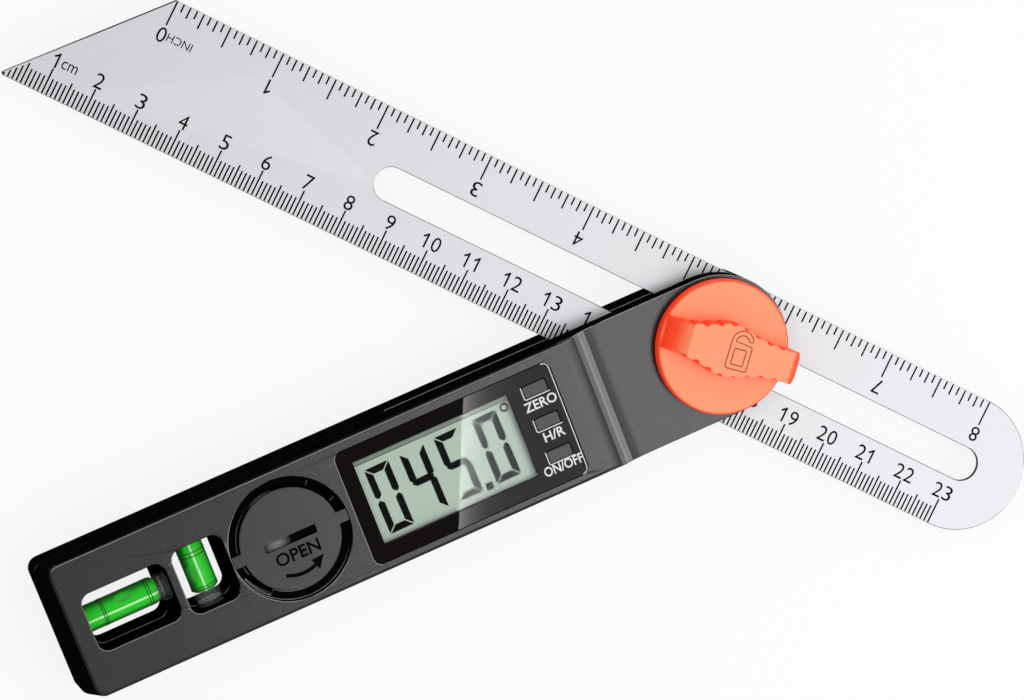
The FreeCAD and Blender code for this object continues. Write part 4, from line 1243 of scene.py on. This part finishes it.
class SLIDINGBEVEL_OT_key_labels(bpy.types.Operator):
    """Print the words and the outlines beside the keys, and a painted highlight line along the window's right
    edge
    """
    bl_idname = "sliding_bevel.key_labels"
    bl_label = "Key labels"

    labels = (("button_zero", "ZERO", 7.5, (0.1, -3.3)),
              ("button_hold", "H/R", 4.9, (0.4, -3.2)),
              ("button_power", "ON/OFF", 9.1, (-0.2, -2.75)))
    line = 0.13
    line_gap = 0.25
    key_half_length, key_half_width = 2.7, 1.35
    # the painted highlight line along the window's right edge: its margin, the reach of its ends, and its
    # rounding
    edge_margin, edge_reach, edge_round = 0.15, (1.6, 1.2), 1.4

    def execute(self, context):
        settings = context.scene.bevel_display
        top = box_mm("display_lens")[1].z
        low, high = top - PRINT_SINKS, top + PRINT_STANDS_OUT
        parts = []
        for node, word, length, (dx, dy) in self.labels:
            centre = middle_mm(node)
            parts.append(words("label", word, settings.label_height / MM,
                               (centre.x + dx, centre.y + dy), low, high, 0.0, length, True))
            left = centre.x - self.key_half_length - self.line_gap
            right = centre.x + self.key_half_length + self.line_gap
            bottom = centre.y - self.key_half_width - self.line_gap
            corners = [(left, centre.y + self.key_half_width), (left, bottom), (right, bottom)]
            parts.append(drawn_line("outline", round_corners(corners, 0.5, False), self.line, top))
        # painted highlight: a white line in the label ink along the window's right edge, where the edge
        # catches the light
        low_corner, high_corner = box_mm("display_lens")
        margin, (upper_reach, lower_reach) = self.edge_margin, self.edge_reach
        right, upper, lower = high_corner.x - margin, high_corner.y - margin, low_corner.y + margin
        edge = [(high_corner.x - upper_reach, upper), (right, upper),
                (right, lower), (high_corner.x - lower_reach, lower)]
        parts.append(drawn_line("edge", round_corners(edge, self.edge_round, False), self.line, top))
        labels = joined("key_labels", parts)
        finished(labels, "handle", "lens_black", print_ink("label_ink", settings.label))
        return {"FINISHED"}


class SLIDINGBEVEL_OT_battery_cover(bpy.types.Operator):
    """Engrave the battery cover with its word and its arrow"""
    bl_idname = "sliding_bevel.battery_cover"
    bl_label = "Battery cover"

    word_below = 3.4
    arrow_radius = 7.95
    arrow_start, arrow_neck, arrow_tip = 241, 292, 313
    arrow_width = 0.8
    head_width = 2.8

    def execute(self, context):
        settings = context.scene.bevel_stock
        low, high = box_mm("battery_cover")
        centre = (low + high) / 2
        cover = cad_copy("battery_cover", "battery_cover_engraved")
        depth = settings.engraving / MM
        word = words("word", "OPEN", settings.word_height / MM, (centre.x + 0.35, centre.y - self.word_below),
                     high.z - depth, high.z + 0.3, 0.0, settings.word_length / MM, True)
        carve(cover, word, True)
        carve(cover, plate("arrow", self.arrow_outline(centre), high.z - depth, high.z + 0.3))
        smooth(cover, 30)
        finished(cover, "battery_cover", "cover_plastic", bpy.data.materials["cover_grain"], "battery_cover")
        return {"FINISHED"}

    def arrow_outline(self, centre):
        """A bent arrow round the cover's middle: along its outer side, round its head and back."""
        half, head = self.arrow_width / 2, self.head_width / 2

        def at(radius, degrees):
            turn = math.radians(degrees)
            return (centre.x + radius * math.cos(turn), centre.y + radius * math.sin(turn))

        return (arc_points(centre, self.arrow_radius + half, self.arrow_start, self.arrow_neck, 14)
                + [at(self.arrow_radius + head, self.arrow_neck), at(self.arrow_radius, self.arrow_tip),
                   at(self.arrow_radius - head, self.arrow_neck)]
                + arc_points(centre, self.arrow_radius - half, self.arrow_neck, self.arrow_start, 14))


class SLIDINGBEVEL_OT_levels(bpy.types.Operator):
    """Fill both spirit levels, with their bubbles and rings"""
    bl_idname = "sliding_bevel.levels"
    bl_label = "Spirit levels"

    ring_radius = 3.04
    end_round = 1.3
    bubble_half = (1.3, 1.2)        # half its width and its height
    bubble_offset = (1.6, 1.9)      # from the tube's middle: to its side, and up
    # from the tube's middle, along the tube: the far end of the liquid, and the rings
    long_fill, long_rings = 7.55, (-5.15, -4.65, 5.15, 5.75)
    cross_fill, cross_rings = 4.8, (-4.5, -3.6, 3.4, 4.0)

    def execute(self, context):
        settings = context.scene.bevel_levels
        ring_ink = print_ink("level_ring", settings.ring)
        for name, axis, rings in (("long", "X", self.long_rings), ("cross", "Y", self.cross_rings)):
            low, high = box_mm("level_tube_" + name)
            centre = (low + high) / 2
            liquid = self.liquid(name, axis, high - low, centre)
            bubble = self.bubble(axis, centre, settings.bubble_length / MM)
            carve(liquid, bubble)
            take(liquid)
            bpy.ops.object.shade_smooth_by_angle(angle=math.radians(40))
            finished(liquid, "handle", "level_green", level_liquid("liquid_" + name, settings.liquid, axis),
                     "level_fluid_" + name)
            parts = [self.ring(axis, centre, place, settings.ring_width / MM) for place in rings]
            finished(joined("level_rings_" + name, parts), "handle", "level_green", ring_ink)
        return {"FINISHED"}

    @staticmethod
    def along(axis):
        """Unit vector along a tube, from the end that is full of liquid to the other one."""
        return Vector((1, 0, 0)) if axis == "X" else Vector((0, -1, 0))

    def liquid(self, name, axis, size, centre):
        """A round bar of liquid with a rounded far end."""
        along = self.along(axis)
        start = centre - along * (max(size) / 2 - 0.2)
        end = centre + along * (self.long_fill if axis == "X" else self.cross_fill)
        bar = rod("level_liquid_" + name, start, end, LIQUID_RADIUS, 40)
        with edited(bar, bar.data.polygons, lambda face: face.normal.dot(along) > 0.9):
            bpy.ops.mesh.bevel(offset=self.end_round * MM, segments=5, profile=0.5, affect="EDGES")
        return bar

    def bubble(self, axis, centre, length):
        """The bubble: a rounded bar, which is cut out of the liquid."""
        clear_selection()
        bpy.ops.mesh.primitive_uv_sphere_add(segments=24, ring_count=12, radius=1)
        bubble = named("bubble")
        (wide, high), (beside, above) = self.bubble_half, self.bubble_offset
        if axis == "X":
            half, offset = (length / 2, wide, high), (0, beside, above)
        else:
            half, offset = (wide, length / 2, high), (-beside, 0, above)
        bubble.scale = Vector(half) * MM
        bubble.location = (centre + Vector(offset)) * MM
        return settle(bubble)

    def ring(self, axis, centre, place, width):
        """A thin ring round the liquid."""
        along = self.along(axis)
        middle = centre + along * place
        outer = rod("ring", middle - along * width / 2, middle + along * width / 2, self.ring_radius, 40)
        inner = rod("inner", middle - along * width, middle + along * width, LIQUID_RADIUS - 0.3, 40)
        return carve(outer, inner)


class SLIDINGBEVEL_OT_lock_knob(bpy.types.Operator):
    """Round the lock knob's edges and mark it with an open padlock"""
    bl_idname = "sliding_bevel.lock_knob"
    bl_label = "Lock knob"

    sign_centre = (1.07, -2.0)
    sign_turn = math.radians(51.4 - 90)
    line = 0.13

    def execute(self, context):
        settings = context.scene.bevel_knob
        knob = cad_copy("lock_knob", "lock_knob_moulded")
        soften(knob, settings.edge_round, 3, 38)
        finished(knob, "lock_knob", "orange_plastic", bpy.data.materials["knob_plastic"], "lock_knob")
        sign = self.padlock(box_mm("lock_knob")[1].z)
        finished(sign, "lock_knob", "orange_plastic", print_ink("sign_ink", settings.sign))
        return {"FINISHED"}

    def padlock(self, top):
        """Body with its inner square and the open shackle, drawn upright and then turned."""
        outer = arc_points((0, 3.4), 2.4, 12, 180, 14)
        body = [(-2.45, 3.3), (-2.45, -2.8), (2.45, -2.8), (2.45, 2.8), (-1.45, 3.2)]
        outer += round_corners(body, 0.6, False)
        outer += arc_points((0, 3.35), 1.45, 178, 14, 12)
        square = round_corners([(1.35, 1.75), (1.35, -1.75), (-1.35, -1.75), (-1.35, 1.75)], 0.25)
        lines = [drawn_line("outline", outer, self.line, top, True),
                 drawn_line("square", square, self.line, top, True)]
        sign = joined("padlock_sign", lines)
        sign.rotation_euler = (0, 0, self.sign_turn)
        sign.location = (self.sign_centre[0] * MM, self.sign_centre[1] * MM, 0)
        return settle(sign)


OPERATORS = (
    SLIDINGBEVEL_OT_stage,
    SLIDINGBEVEL_OT_materials,
    SLIDINGBEVEL_OT_housing,
    SLIDINGBEVEL_OT_rule,
    SLIDINGBEVEL_OT_rule_scales,
    SLIDINGBEVEL_OT_rule_numbers,
    SLIDINGBEVEL_OT_display_window,
    SLIDINGBEVEL_OT_display_figures,
    SLIDINGBEVEL_OT_key_labels,
    SLIDINGBEVEL_OT_battery_cover,
    SLIDINGBEVEL_OT_levels,
    SLIDINGBEVEL_OT_lock_knob,
)

SETTINGS = (
    ("bevel_stage", StageSettings),
    ("bevel_stock", StockSettings),
    ("bevel_rule", RuleSettings),
    ("bevel_display", DisplaySettings),
    ("bevel_levels", LevelSettings),
    ("bevel_knob", KnobSettings),
)


class SLIDINGBEVEL_PT_panel(bpy.types.Panel):
    """Settings and steps of the sliding bevel"""
    bl_idname = "SLIDINGBEVEL_PT_panel"
    bl_label = "Sliding bevel"
    bl_space_type = "VIEW_3D"
    bl_region_type = "UI"
    bl_category = "Sliding bevel"

    def draw(self, context):
        for name, settings in SETTINGS:
            box = self.layout.box()
            for key in settings.__annotations__:
                box.prop(getattr(context.scene, name), key)
        for operator in OPERATORS:
            self.layout.operator(operator.bl_idname)


def register():
    """Add the settings, the operators and the panel."""
    for name, settings in SETTINGS:
        bpy.utils.register_class(settings)
        setattr(bpy.types.Scene, name, PointerProperty(type=settings))
    for cls in OPERATORS + (SLIDINGBEVEL_PT_panel,):
        bpy.utils.register_class(cls)


def unregister():
    """Take the panel, the operators and the settings away again."""
    for cls in reversed(OPERATORS + (SLIDINGBEVEL_PT_panel,)):
        bpy.utils.unregister_class(cls)
    for name, settings in reversed(SETTINGS):
        delattr(bpy.types.Scene, name)
        bpy.utils.unregister_class(settings)


def main():
    """Make the whole scene."""
    register()
    for operator in OPERATORS:
        group, name = operator.bl_idname.split(".")
        getattr(getattr(bpy.ops, group), name)()


if __name__ == "__main__":
    main()
